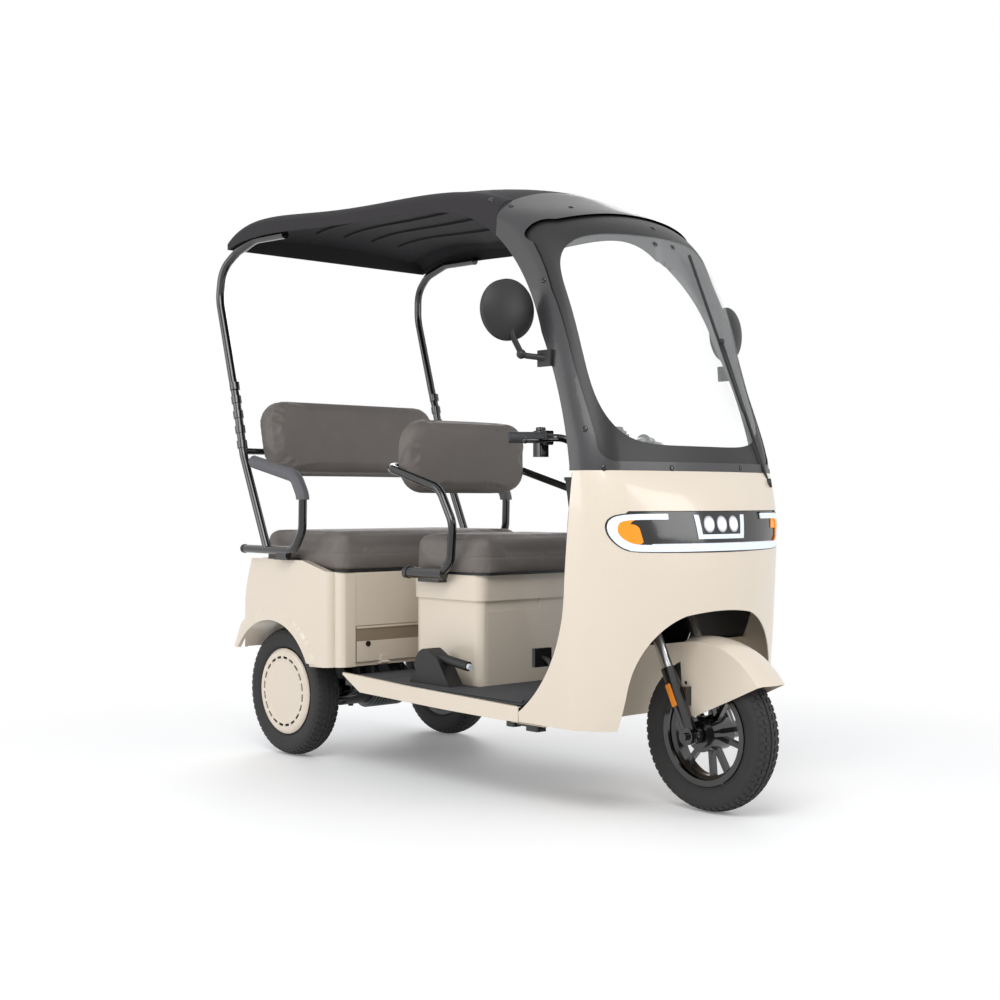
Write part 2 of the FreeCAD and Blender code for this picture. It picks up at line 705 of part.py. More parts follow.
def glass_pane():
    def away(p):
        return (p[0] + math.copysign(GLASS_BORDER, p[0]) * (abs(p[0]) > 1),
                p[1] + (GLASS_BORDER if p[1] > 1500 else -GLASS_BORDER * (p[1] < 1000)))

    outline = [("arc", away(p[1]), away(p[2])) if p[0] == "arc" else away(p) for p in GLASS_HOLE]
    inner = bow_loft(SCREEN_ROWS, 700, lambda z: screen_inset(z) + 0.4)
    core = bow_loft(SCREEN_ROWS, 690, lambda z: screen_inset(z) + 0.4 + GLASS_T)
    ahead = front_of(SCREEN_BACK)
    ahead.translate(V(GLASS_BACK, 0, 0))
    return inner.cut(core).common(prism_x(outline, 1040, 1800)).common(ahead)


def roof_wire(x, half, low, edge, width, shoulder, crown):
    bend = (half - width * 0.27, edge + (shoulder - edge) * 0.7)
    return closed_wire([(x, -half, low), (x, -half, edge),
                        ("arc", (x, -bend[0], bend[1]), (x, width - half, shoulder)),
                        ("arc", (x, 0, crown), (x, half - width, shoulder)),
                        ("arc", (x, bend[0], bend[1]), (x, half, edge)), (x, half, low)])


def roof_panel():
    outer = Part.makeLoft([roof_wire(*row) for row in ROOF_ROWS], True, False)
    rows = [(x, half - ROOF_T, low - 12, edge, width, shoulder - ROOF_T, crown - ROOF_T)
            for x, half, low, edge, width, shoulder, crown in ROOF_ROWS]
    rows[0] = (rows[0][0] + 5, *rows[0][1:])
    rows[-1] = (rows[-1][0] + ROOF_T, *rows[-1][1:])
    inner = Part.makeLoft([roof_wire(*row) for row in rows], True, False)
    shell = outer.cut(inner)
    ribs = inner.cut(inner.translated(V(0, 0, -RIB_DEPTH)))
    strips = [box(-170, 880, y - 5, y + 5, 1600, 1800) for y in (-240, -120, 0, 120, 240)]
    return fuse(shell, *[ribs.common(strip) for strip in strips])


node("windscreen_frame", screen_frame())
node("windscreen_glass", glass_pane())
node("roof_panel", roof_panel())


# Leg shield, column cover, dash and the liner behind the front wheel

COVER_Y = 138
DASH_Z = 892
SHIELD_LINE = [(1150, 283), ("arc", (1273, 390), (1339, 612)), (1361, DASH_Z)]


def leg_shield():
    sheet = SHIELD_LINE + [(1365.3, DASH_Z), (1343.5, 612), ("arc", (1277, 387), (1153, 278.5))]
    skin = prism_y(sheet, -400, 400).common(bow_loft(FAIRING_ROWS, 1000, SHELL + 0.4))
    return skin.cut(box(1100, 1500, -COVER_Y - 0.3, COVER_Y + 0.3, 270, 900))


def column_cover():
    """The tunnel round the steering column, standing on the mat behind the leg shield."""
    low = FLOOR_Z + MAT_T + 0.3
    outer = [(1168, low), (1168, 505), (1130, 640), (1084, DASH_Z + 4), (1400, DASH_Z + 4),
             (1400, low)]
    inner = [(1172, low - 5), (1172, 506), (1134, 641), (1089, DASH_Z), (1500, DASH_Z),
             (1500, low - 5)]
    shell = prism_y(outer, -COVER_Y, COVER_Y).cut(prism_y(inner, -COVER_Y + 4, COVER_Y - 4))
    ahead = front_of([(1150, 200)] + SHIELD_LINE + [(1361, DASH_Z + 20)])
    return shell.cut(ahead).cut(along_axis(860, 930, 30))


def dash():
    top = bow_loft(FAIRING_ROWS, 1000, SHELL + 0.5).common(box(1361, 1500, -400, 400, DASH_Z + 0.3,
                                                                       DASH_Z + 10))
    shelf = box(1082, 1361.5, -COVER_Y - 2, COVER_Y + 2, DASH_Z + 0.3, DASH_Z + 10)
    return fuse(top, shelf).cut(along_axis(860, 930, 30))


def arch_liner():
    low = RAIL_LOW - 0.3
    sheet = [(1110, low - 3), (1240, low - 3), (1260, 310), (1312, 434), (1308, 434), (1256, 310),
             (1236.5, low), (1110, low)]
    skin = prism_y(sheet, -400, 400).common(bow_loft(FAIRING_ROWS, 1000, SHELL + 0.4))
    return skin


node("leg_shield", leg_shield())
node("dash_console", fuse(column_cover(), dash()))
node("wheel_arch_liner", arch_liner())


# Floor, mat and side skirts

def side_skirt():
    top = [(SKIRT_REAR, 301), (634, 289), (909, 282), (SKIRT_FRONT - 1, 277)]
    low = [(SKIRT_FRONT - 1, SKIRT_LOW), (1079, SKIRT_LOW - 2), (821, SKIRT_LOW + 1),
           (425, SKIRT_LOW + 11), (SKIRT_REAR, 294)]
    wall = prism_y(top + low, SKIRT_Y - 4, SKIRT_Y)
    rim = prism_y(top + [(x, z - 4) for x, z in reversed(top)], FLOOR_W + 0.3, SKIRT_Y - 3)
    return fuse(wall, rim)


def floor_panel():
    pan = box(BODY_FRONT + 1, 1150, -FLOOR_W, FLOOR_W, FLOOR_Z - FLOOR_T, FLOOR_Z)
    lips = [box(BODY_FRONT + 1, 1130, y - 2, y + 2, FLOOR_Z - 24, FLOOR_Z)
            for y in (-FLOOR_W + 2, FLOOR_W - 2)]
    return fuse(pan, *lips)


def floor_mat():
    mat = box(BODY_FRONT + 6, 1142, -FLOOR_W + 6, FLOOR_W - 6, FLOOR_Z + 0.3, FLOOR_Z + MAT_T)
    hole = box(BOX_X[0] - 1, BOX_X[1] + 1, -BOX_Y - 1, BOX_Y + 1, FLOOR_Z - 5, FLOOR_Z + 20)
    return mat.cut(hole)


node("side_skirts", side_skirt(), mirrored(side_skirt()))
node("floor_panel", floor_panel())
node("floor_mat", floor_mat())


# Rear body: side walls with wheel arches, shoulders and a shelf for the bench

REAR_LINE = [(-226, 345), (-176, 506), (-122, BODY_TOP)]


def body_block(inset=0, low=0):
    side = [(x + inset * 1.05, z) for x, z in REAR_LINE]
    side[0] = (side[0][0] - low * 0.31, side[0][1] - low)
    front = BODY_FRONT + 10 - inset
    side += [(172, BODY_TOP), (300, BENCH_SHELF + 2), (front, BENCH_SHELF - 4), (front, 316 - low),
             (205, 311 - low)]
    y = BODY_Y - inset
    plan = [(-230 + inset, -y + 85), ("arc", (-203 + inset, -y + 26), (-138, -y)), (284, -y),
            ("arc", (306, -y + 8), (314, -y + 26)), (326, -y + 28),
            ("arc", (341 - inset, -y + 38), (front, -y + 58)), (front, 1 - PILLAR_Y),
            (BODY_FRONT - inset, 1 - PILLAR_Y)]
    plan += [(p[0], -p[1]) for p in [(BODY_FRONT - inset, 1 - PILLAR_Y), (front, 1 - PILLAR_Y),
                                     (front, -y + 58)]]
    plan += [("arc", (341 - inset, y - 38), (326, y - 28)), (314, y - 26),
             ("arc", (306, y - 8), (284, y)), (-138, y),
             ("arc", (-203 + inset, y - 26), (-230 + inset, y - 85))]
    return prism_y(side, -500, 500).common(prism_z(plan, 200, 700))


def arch_flare(sign):
    """A lip that stands out round the wheel arch and fades into the side."""
    face = BODY_Y - 3
    lip = revolve_y([(ARCH_R, face * sign), (ARCH_R, (face + FLARE_OUT) * sign),
                     (ARCH_R + 12, (face + FLARE_OUT) * sign), (ARCH_R + FLARE_W, face * sign)],
                    0, TYRE_R)
    side = [(x + 6, z) for x, z in REAR_LINE] + [(284, BODY_TOP), (284, 318), (-220, 345)]
    return lip.common(prism_y(side, -500, 500))


def eye_pair(x, z, y, radius):
    """The moving half of a hinge: a sleeve round the pin."""
    sleeve = cyl((x, y - HINGE_W, z), (x, y + HINGE_W, z), radius)
    return sleeve.cut(cyl_y(x, z, y - HINGE_W - 1, y + HINGE_W + 1, PIN_R + PIN_GAP))


def pin_pair(x, z, y, lug):
    """The fixed half: a pin held by a lug at each end. The lug is x0, x1, z0, z1."""
    reach = HINGE_W + 6
    pin = cyl((x, y - reach, z), (x, y + reach, z), PIN_R)
    ends = [box(lug[0], lug[1], y + low, y + low + 5, lug[2], lug[3])
            for low in (-reach, reach - 5)]
    return fuse(pin, *ends)


def rear_body():
    skin = body_block().cut(box(BENCH_X[0] - 3, 400, -BENCH_Y - 4, BENCH_Y + 4, BENCH_SHELF, 700))
    hollow = body_block(BODY_T, 40).common(box(-400, 400, -500, 500, 100, SEAT_RAIL_Z + 0.3))
    body = skin.cut(hollow)
    for sign in (-1, 1):
        arch = cyl_y(0, TYRE_R, sign * WELL_Y, sign * 500, ARCH_R)
        lining = cyl_y(0, TYRE_R, sign * (WELL_Y - 4), sign * (BODY_Y - 2), ARCH_R + 4)
        lining = lining.common(box(-400, 400, -500, 500, 345, 700))
        lining = lining.cut(cyl_y(0, TYRE_R, sign * WELL_Y, sign * 500, ARCH_R))
        body = fuse(body.cut(arch), lining.common(body_block(2)), arch_flare(sign).cut(arch))
    body = body.cut(box(-84, 300, -345, 345, BENCH_SHELF - 30, BENCH_SHELF + 5))
    body = body.cut(box(BODY_FRONT - 20, BODY_FRONT + 5, -300, 300, 345, 426))
    x, z = BENCH_HINGE
    pins = [pin_pair(x, z, y, (x - 5, x + 2.3, BODY_TOP - 4, z + 4)) for y in (-180, 180)]
    x, z = DOOR_HINGE
    pins += [pin_pair(x, z, y, (BODY_FRONT - 4, x + 4, z - 4, z + 4)) for y in (-220, 220)]
    return fuse(body, *pins)


def battery_door():
    x = BODY_FRONT + 0.5
    plate = box(x, x + 8, -PILLAR_Y + 6, PILLAR_Y - 6, 330, 441)
    grip = box(x + 4, x + 9, -PILLAR_Y + 5, PILLAR_Y - 5, 394, 434)
    lock = cyl((x + 6, -283, 385), (x + 11, -283, 385), 9)
    hx, hz = DOOR_HINGE
    eyes = []
    for y in (-220, 220):
        eyes.append(eye_pair(hx, hz, y, 4.2))
        eyes.append(box(x + 7.5, hx + 1.5, y - HINGE_W, y + HINGE_W, hz + PIN_R + 0.8, hz + 22))
    return fuse(plate.cut(grip), lock, *eyes)


def upper_panel():
    x = BODY_FRONT + 0.3
    return box(x, x + 6, -PILLAR_Y + 1.5, PILLAR_Y - 1.5, 443, BENCH_SHELF - 3)


def tail_lamp():
    return prism_y([(-184.4, 480), (-206.2, 410), (-215, 413), (-193, 483)], 236, 322)


node("rear_body", rear_body())
node("battery_door", battery_door())
node("rear_front_panel", upper_panel())
node("tail_lamps", tail_lamp(), mirrored(tail_lamp()))
node("battery_pack", box(-70, 210, -180, 180, REAR_RAIL + RAIL_H + 4.3, REAR_RAIL + RAIL_H + 178))


# Roof posts, rear armrests and the bench

POST_BASE_X = -10
ARM_BASE_Z = 676
BENCH_LEAN = 13


def roof_post():
    y = POST_Y
    path = [(POST_BASE_X + 6, y, ARM_BASE_Z), (-149, y, 989), (-193, y, 1174),
            (-221, y, 1256), (-300, y, 1521), (-292, y - 6, 1620), (-222, y - 18, 1671),
            (-110, y - 22, 1702), (60, y - 26, 1697)]
    post = tube(path, POST_R, 140).cut(cyl((-200, y, ARM_BASE_Z), (150, y, ARM_BASE_Z),
                                             POST_R - 0.2))
    post = max(post.Solids, key=lambda solid: solid.Volume)
    collars = []
    for z in (1010, 1060, 1110, 1160, 1206):
        x = -149 - (z - 989) * 0.238
        collars.append(cyl((x, y, z), (x - 5.7, y, z + 24), POST_R + 3.5))
    return fuse(post, *collars)


def armrest_path():
    y = POST_Y
    return [(-137, y, ARM_BASE_Z), (150, y, ARM_BASE_Z), (197, y, 740), (200, y, 850),
            (160, y, 912), (-94 - 4, y, 966)]


def rear_armrest():
    loop = tube(armrest_path(), POST_R - 0.5, 60)
    plate = box(52, 128, BODY_Y - 24, POST_Y + 12, BODY_TOP + 0.3, BODY_TOP + 6)
    foot = box(62, 118, POST_Y - 10, POST_Y + 10, BODY_TOP + 5, ARM_BASE_Z - 5)
    cap = cyl((-146, POST_Y, ARM_BASE_Z), (-136, POST_Y, ARM_BASE_Z), POST_R + 1)
    return fuse(loop, plate, foot, cap)


def arm_pad():
    sleeve = tube(armrest_path(), PAD_R, 60, POST_R)
    return sleeve.common(box(-82, 240, 380, 480, 838, 1000))


def bench_back():
    half, r, t = BENCH_BACK_Y, 96, BENCH_BACK_T
    low, high = BENCH_BACK_Z
    mid = r * (1 - math.sqrt(0.5))
    outline = [(-half + r, low), (half - r, low), ("arc", (half - mid, low + mid), (half, low + r)),
               (half, high - r), ("arc", (half - mid, high - mid), (half - r, high)),
               (-half + r, high), ("arc", (-half + mid, high - mid), (-half, high - r)),
               (-half, low + r), ("arc", (-half + mid, low + mid), (-half + r, low))]
    slab = prism_x(outline, 0, t)
    rims = [e for e in slab.Edges if e.BoundBox.XLength < 1e-3 and e.BoundBox.XMin > t - 1]
    slab = slab.makeFillet(20, rims)
    slab.rotate(V(0, 0, 1000), Y_AXIS, -BENCH_LEAN)
    return slab.translated(V(-136, 0, 0))


def backrest_bar():
    bar = cyl((-151.7, -POST_Y, 1000), (-151.7, POST_Y, 1000), 11)
    plates = []
    for y in (-240, 240):
        plate = box(-12, -0.3, y - 24, y + 24, 960, 1060)
        plate.rotate(V(0, 0, 1000), Y_AXIS, -BENCH_LEAN)
        plates.append(plate.translated(V(-136, 0, 0)))
    return fuse(bar, *plates)


def bench_lid():
    plate = box(BENCH_X[0] + 4, BENCH_X[1] - 9, 4 - BENCH_Y, BENCH_Y - 4, BENCH_SHELF + LID_GAP,
                BENCH_SHELF + LID_T + 2)
    return fillet_along(plate, (0, 0, 1), 34)


def bench_eye(y):
    x, z = BENCH_HINGE
    sleeve = eye_pair(x, z, y, 4.5)
    leaf = box(x + PIN_R + 0.7, BENCH_X[0] - 0.2, y - HINGE_W, y + HINGE_W, BENCH_SHELF + 1, z)
    foot = box(x + 4, BENCH_X[0] + 5, y - HINGE_W, y + HINGE_W, BENCH_SHELF + 1,
               BENCH_SHELF + LID_T - 0.5)
    return fuse(sleeve, leaf, foot)


def bench_cushion():
    pad = rounded_slab(*BENCH_X, -BENCH_Y, BENCH_Y, BENCH_SHELF + LID_T, BENCH_TOP, 38, 26)
    return fuse(pad, bench_lid(), bench_eye(-180), bench_eye(180))


node("roof_posts", fuse(roof_post(), mirrored(roof_post()), backrest_bar()))
node("rear_armrests", rear_armrest(), mirrored(rear_armrest()))
node("rear_arm_pads", arm_pad(), mirrored(arm_pad()))
node("bench_backrest", bench_back())
node("bench_cushion", bench_cushion())


# Driver's seat box, lid, cushion and backrest frame

def seat_box():
    x0, x1 = BOX_X
    lower = fillet_along(box(x0 + 5, x1 - 7, -BOX_Y + 8, BOX_Y - 8, FLOOR_Z + 0.3, BAND_Z + 5),
                         (0, 0, 1), 34)
    upper = fillet_along(box(x0, x1, -BOX_Y, BOX_Y, BAND_Z, BOX_TOP), (0, 0, 1), 38)
    inner = fillet_along(box(x0 + 5 + BOX_T, x1 - 7 - BOX_T, -BOX_Y + 8 + BOX_T, BOX_Y - 8 - BOX_T,
                             FLOOR_Z + BOX_T, BOX_TOP + 10), (0, 0, 1), 30)
    recess = box(x1 - 9, x1 + 5, -215, 5, 508, BAND_Z - 0.5)
    x, z = SEAT_HINGE
    pins = [pin_pair(x, z, y, (x1 - 3, x + 4, z - 4, z + 4)) for y in (-150, 150)]
    return fuse(fuse(lower, upper).cut(inner).cut(recess), *pins)


def driver_lid():
    return fillet_along(box(BOX_X[0] + 6, BOX_X[1] + 10, -BOX_Y - 2, BOX_Y + 2, BOX_TOP + LID_GAP,
                            BOX_TOP + LID_T + 2), (0, 0, 1), 34)


def driver_frame():
    y = ARM_Y
    x0 = BACK_X + 12
    left = [(700, y, 622), (742, y, 650), (752, y, 770), (690, y, 872), (x0, y, 940)]
    right = [(p[0], -p[1], p[2]) for p in reversed(left)]
    loop = tube(left + right, ARM_R, [70, 70, 70, 34, 34, 70, 70, 70])
    ends = []
    for s in (-1, 1):
        ends.append(cyl((548, s * y, 617), (712, s * y, 617), ARM_R + 4))
        ends.append(box(580, 680, min(s * (BOX_Y + 0.3), s * (y - 6)),
                        max(s * (BOX_Y + 0.3), s * (y - 6)), 590, 616))
        ends.append(cyl((531, s * y, 617), (549, s * y, 617), ARM_R + 6))
        strut = box(x0 - 4, x0 + 15.5, s * 120 - 18, s * 120 + 18, 916, 968)
        ends.append(strut)
    return fuse(loop, *ends)


def driver_back():
    half, r, t = BACK_Y, 88, BACK_T
    low, high = BACK_Z
    mid = r * (1 - math.sqrt(0.5))
    outline = [(-half + r, low), (half - r, low), ("arc", (half - mid, low + mid), (half, low + r)),
               (half, high - r), ("arc", (half - mid, high - mid), (half - r, high)),
               (-half + r, high), ("arc", (-half + mid, high - mid), (-half, high - r)),
               (-half, low + r), ("arc", (-half + mid, low + mid), (-half + r, low))]
    slab = prism_x(outline, BACK_X + 28, BACK_X + 28 + t)
    rims = [e for e in slab.Edges if e.BoundBox.XLength < 1e-3 and e.BoundBox.XMin > BACK_X + 30]
    return slab.makeFillet(18, rims)


node("driver_seat_box", seat_box())
def driver_cushion():
    pad = rounded_slab(*SEAT_X, -SEAT_Y, SEAT_Y, BOX_TOP + LID_T, SEAT_TOP, 52, 30)
    x, z = SEAT_HINGE
    eyes = []
    for y in (-150, 150):
        eyes.append(eye_pair(x, z, y, 4.2))
        eyes.append(box(x - 3, x + 3, y - HINGE_W, y + HINGE_W, z + PIN_R + 0.8,
                        BOX_TOP + LID_GAP + 1))
    return fuse(pad, driver_lid(), *eyes)


node("driver_cushion", driver_cushion())
node("driver_seat_frame", driver_frame())
node("driver_backrest", driver_back())


# Mirrors, wiper, parking brake and foot pedal

def mirror():
    centre = V(MIRROR_X, MIRROR_Y, MIRROR_Z)
    head = Part.makeCylinder(MIRROR_R, 14, V(-14, 0, 0), X_AXIS)
    back = Part.makeSphere(MIRROR_R * 1.9, V(MIRROR_R * -1.6, 0, 0))
    dome = back.common(Part.makeCylinder(MIRROR_R, 60, V(-0.5, 0, 0), X_AXIS))
    shell = fuse(head, dome).cut(Part.makeCylinder(MIRROR_R - 5, 4, V(-15, 0, 0), X_AXIS))
    shell.rotate(V(0, 0, 0), Z_AXIS, 8)
    shell.translate(centre)
    stalk = tube([(1250, 368, 1214), (1206, 416, 1222), (1199, 444, 1272), (1196, 448, 1300)], 8, 24)
    pad = box(1222, 1272, 358, 376, 1192, 1236)
    pad = pad.cut(screen_solid(-0.5))
    elbow = Part.makeSphere(13, V(1205, 418, 1225))
    return fuse(shell, stalk, pad, elbow)


def mirror_glass():
    face = Part.makeCylinder(MIRROR_R - 6, 3, V(-14, 0, 0), X_AXIS)
    face.rotate(V(0, 0, 0), Z_AXIS, 8)
    return face.translated(V(MIRROR_X, MIRROR_Y, MIRROR_Z))


def wiper():
    pivot, wrist = V(1464, 298, 884), V(1425, 140, 1280)
    low, high = V(1458, 196, 1085), V(1372, 64, 1520)
    arm = cyl(tuple(pivot), tuple(wrist), 5)
    blade = cyl(tuple(low), tuple(high), 4.5)
    boss = cyl((1452, 286, 882), (1472, 303, 886), 13)
    link = Part.makeSphere(9, wrist)
    skin = bow_loft(FAIRING_ROWS, 1000, -0.3)
    return fuse(arm, blade, boss, link).cut(skin).cut(screen_solid(-0.3))


def parking_brake():
    y0, y1 = -326, -272
    boot = prism_y([(605, 291.3), (640, 328), ("arc", (662, 392), (690, 397)), (738, 372),
                    (796, 291.3)], y0, y1)
    lever = cyl((690, -299, 376), (850, -299, 356), 14)
    button = cyl((850, -299, 356), (859, -299, 354.9), 9)
    return fuse(boot, lever, button)


def brake_pedal():
    pad = box(1090, 1102, -272, -208, 372, 424)
    arm = tube([(1100, -240, 398), (1134, -240, 386), (1122, -240, FLOOR_Z + MAT_T + 4)], 7, 24)
    foot = box(1094, 1138, -256, -224, FLOOR_Z + MAT_T + 0.3, FLOOR_Z + MAT_T + 8)
    return fuse(pad, arm, foot)


node("mirrors", mirror(), mirrored(mirror()))
node("mirror_glasses", mirror_glass(), mirrored(mirror_glass()))
node("windscreen_wiper", wiper())
node("parking_brake", parking_brake())
node("brake_pedal", brake_pedal())


# Move the whole vehicle to the centre of its own floor rectangle and write it

def whole_box():
    total = FreeCAD.BoundBox()
    for shape in NODES.values():
        total.add(shape.optimalBoundingBox(False))
    return total


os.makedirs("parts", exist_ok=True)
extent = whole_box()
shift = V(-(extent.XMin + extent.XMax) / 2, -(extent.YMin + extent.YMax) / 2, -extent.ZMin)
print("shift", round(shift.x, 3), round(shift.y, 3), round(shift.z, 3))
print("size", round(extent.XLength, 1), round(extent.YLength, 1), round(extent.ZLength, 1))
for name, shape in NODES.items():
    shape.translated(shift).exportStep(f"parts/{name}.step")
print("nodes", len(NODES), "axis at crown", round(axis_x(CROWN_Z) + shift.x, 3))
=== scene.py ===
"""Looks of an electric passenger tricycle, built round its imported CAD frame.

Metres; +X forward, +Y to the vehicle's left, +Z up; the origin is under the middle.
"""
# %% [markdown]
# Everything here hangs on the CAD frame, so it is loaded first. The places below are
# written as the drawing has them, in millimetres from the rear axle, and `at` turns
# them into the frame's metres. The axle's own box says where that zero lies.

# %% The frame
import json
import math
import bmesh
import bpy
from mathutils import Matrix, Vector
from mathutils.bvhtree import BVHTree


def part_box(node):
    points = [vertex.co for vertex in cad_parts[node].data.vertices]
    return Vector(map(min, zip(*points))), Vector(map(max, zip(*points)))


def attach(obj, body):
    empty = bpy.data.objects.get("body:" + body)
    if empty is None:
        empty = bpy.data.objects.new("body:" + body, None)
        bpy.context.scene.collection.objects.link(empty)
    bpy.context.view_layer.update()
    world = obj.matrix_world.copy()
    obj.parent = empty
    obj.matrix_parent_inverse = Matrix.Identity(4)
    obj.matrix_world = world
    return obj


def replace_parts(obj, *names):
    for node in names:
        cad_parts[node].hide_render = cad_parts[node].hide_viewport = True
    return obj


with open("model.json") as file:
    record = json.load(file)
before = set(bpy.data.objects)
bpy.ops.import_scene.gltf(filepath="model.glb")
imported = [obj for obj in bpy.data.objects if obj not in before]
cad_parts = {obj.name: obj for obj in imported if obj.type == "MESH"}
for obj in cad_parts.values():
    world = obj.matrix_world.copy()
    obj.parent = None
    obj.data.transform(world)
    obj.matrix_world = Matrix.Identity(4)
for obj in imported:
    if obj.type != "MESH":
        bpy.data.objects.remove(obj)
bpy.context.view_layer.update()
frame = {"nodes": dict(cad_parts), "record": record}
NODES = frame["nodes"]
AXLE = sum(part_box("rear_tyre_left"), Vector()) / 2
WHEEL_R = AXLE.z
FRONT_HUB = sum(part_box("front_tyre"), Vector()) / 2


def at(x, y, z):
    return Vector((AXLE.x + x / 1000, y / 1000, z / 1000))


print("frame loaded,", len(NODES), "nodes, rear axle at x =", round(AXLE.x, 4))

# %% [markdown]
# The camera stands where the photographer's did: low beside the front corner, with a
# rather long lens, so that the sides stay nearly parallel. Studio pictures of vehicles
# are lit by big soft boxes. One hangs over the front corner, a weaker one lights the
# shaded side, and the pale world fills the rest.

# %% Camera, floor and light
camera_data = bpy.data.cameras.new("camera")
camera_data.lens = 53.75
camera = bpy.data.objects.new("camera", camera_data)
camera.location = at(4130.5, -3100.2, 837.1)
camera.rotation_euler = (math.radians(90), 0, math.radians(48.3))
scene = bpy.context.scene
scene.collection.objects.link(camera)
scene.camera = camera
scene.view_settings.view_transform = "Standard"


def soft_box(name, place, aim, size, watts):
    light = bpy.data.lights.new(name, "AREA")
    light.shape = "RECTANGLE"
    light.size, light.size_y = size
    light.energy = watts
    lamp = bpy.data.objects.new(name, light)
    lamp.location = place
    lamp.rotation_euler = (Vector(aim) - Vector(place)).to_track_quat("-Z", "Y").to_euler()
    scene.collection.objects.link(lamp)


MIDDLE = (0, 0, 0.8)
soft_box("key_box", (2.2, -2.6, 3.4), MIDDLE, (2.4, 1.8), 78)
soft_box("front_box", (4.2, 1.6, 2.0), MIDDLE, (1.8, 2.2), 42)
soft_box("side_box", (-1.6, -4.0, 1.8), MIDDLE, (3.0, 1.6), 40)
soft_box("back_box", (-3.4, 2.8, 2.6), MIDDLE, (2.4, 2.0), 46)

# %% [markdown]
# A material is a small sum of nodes. `Value` lets such sums be written as Python
# expressions, and `Shader.add` makes every other node in one call. All patterns read
# Object coordinates, so they stay in the piece when the camera or a joint moves.

# %% Shader helpers


class Value:
    """A shader socket that can be used in sums."""

    def __init__(self, shader, socket):
        self.shader, self.socket = shader, socket

    def sum_with(self, operation, first, second):
        settings = {"operation": operation, "use_clamp": False}
        return self.shader.add("ShaderNodeMath", settings, {0: first, 1: second})

    def __add__(self, other):
        return self.sum_with("ADD", self, other)

    def __sub__(self, other):
        return self.sum_with("SUBTRACT", self, other)

    def __rsub__(self, other):
        return self.sum_with("SUBTRACT", other, self)

    def __mul__(self, other):
        return self.sum_with("MULTIPLY", self, other)

    def __gt__(self, other):
        return self.sum_with("GREATER_THAN", self, other)

    def __pow__(self, other):
        return self.sum_with("POWER", self, other)

    def __abs__(self):
        return self.sum_with("ABSOLUTE", self, 0.0)

    __radd__ = __add__
    __rmul__ = __mul__


class Shader:
    """The node tree of one material, ending in a Principled shader."""

    def __init__(self, name):
        self.material = bpy.data.materials.new(name)
        self.material.use_nodes = True
        self.tree = self.material.node_tree
        self.tree.nodes.clear()
        self.place = self.add("ShaderNodeTexCoord", out="Object")
        self.body = self.tree.nodes.new("ShaderNodeBsdfPrincipled")
        output = self.tree.nodes.new("ShaderNodeOutputMaterial")
        self.tree.links.new(self.body.outputs[0], output.inputs[0])

    def plug(self, socket, value):
        if isinstance(value, Value):
            self.tree.links.new(value.socket, socket)
        else:
            socket.default_value = value

    def add(self, kind, settings=None, sockets=None, out=0):
        node = self.tree.nodes.new(kind)
        for name, value in (settings or {}).items():
            setattr(node, name, value)
        for name, value in (sockets or {}).items():
            self.plug(node.inputs[name], value)
        return Value(self, node.outputs[out])

    def set(self, **sockets):
        for name, value in sockets.items():
            self.plug(self.body.inputs[name.replace("_", " ")], value)

    def noise(self, size, detail=3.0):
        sockets = {"Vector": self.place, "Scale": 1 / size, "Detail": detail}
        return self.add("ShaderNodeTexNoise", None, sockets)

    def mix(self, share, first, second):
        settings = {"data_type": "RGBA"}
        return self.add("ShaderNodeMix", settings, {0: share, 6: first, 7: second}, out=2)

    def bump(self, height, depth):
        sockets = {"Height": height, "Distance": depth, "Strength": 1.0}
        self.set(Normal=self.add("ShaderNodeBump", None, sockets))


def linear(red, green, blue, alpha=1.0):
    """The colour that a picture shows as these 0 to 255 values, in the shader's units."""
    parts = [c / 255 for c in (red, green, blue)]
    return (*[((c + 0.055) / 1.055) ** 2.4 if c > 0.04045 else c / 12.92 for c in parts], alpha)


def shade(colour, factor):
    return (*[c * factor for c in colour[:3]], 1.0)

# %% [markdown]
# Moulded parts get their look from three scales: broad, faint changes of tone from how
# the plastic flowed, a fine grain or polish, and the gloss coat on top. One recipe
# makes them all, and the named finishes below only differ in its numbers. The roof is
# matt: seen flat from behind, a glossy one would only mirror the lamps.

# %% Finishes of hard parts


def moulded(name, colour, roughness, grain=0.0006, depth=0.00002, coat=0.0, metal=0.0,
            tone=0.05, scuff=0.06, sheen=0.5):
    shader = Shader(name)
    shader.body.inputs["Specular IOR Level"].default_value = sheen
    broad = shader.noise(0.35, 2.0)
    tint = shader.mix(broad, shade(colour, 1 - tone), shade(colour, 1 + tone))
    dust = shader.noise(0.03, 5.0)
    shader.set(Base_Color=tint, Metallic=metal, Roughness=roughness - scuff / 2 + dust * scuff)
    if coat:
        shader.set(Coat_Weight=coat)
        shader.body.inputs["Coat Roughness"].default_value = 0.06
    if depth:
        shader.bump(shader.noise(grain, 2.0), depth)
    return shader.material


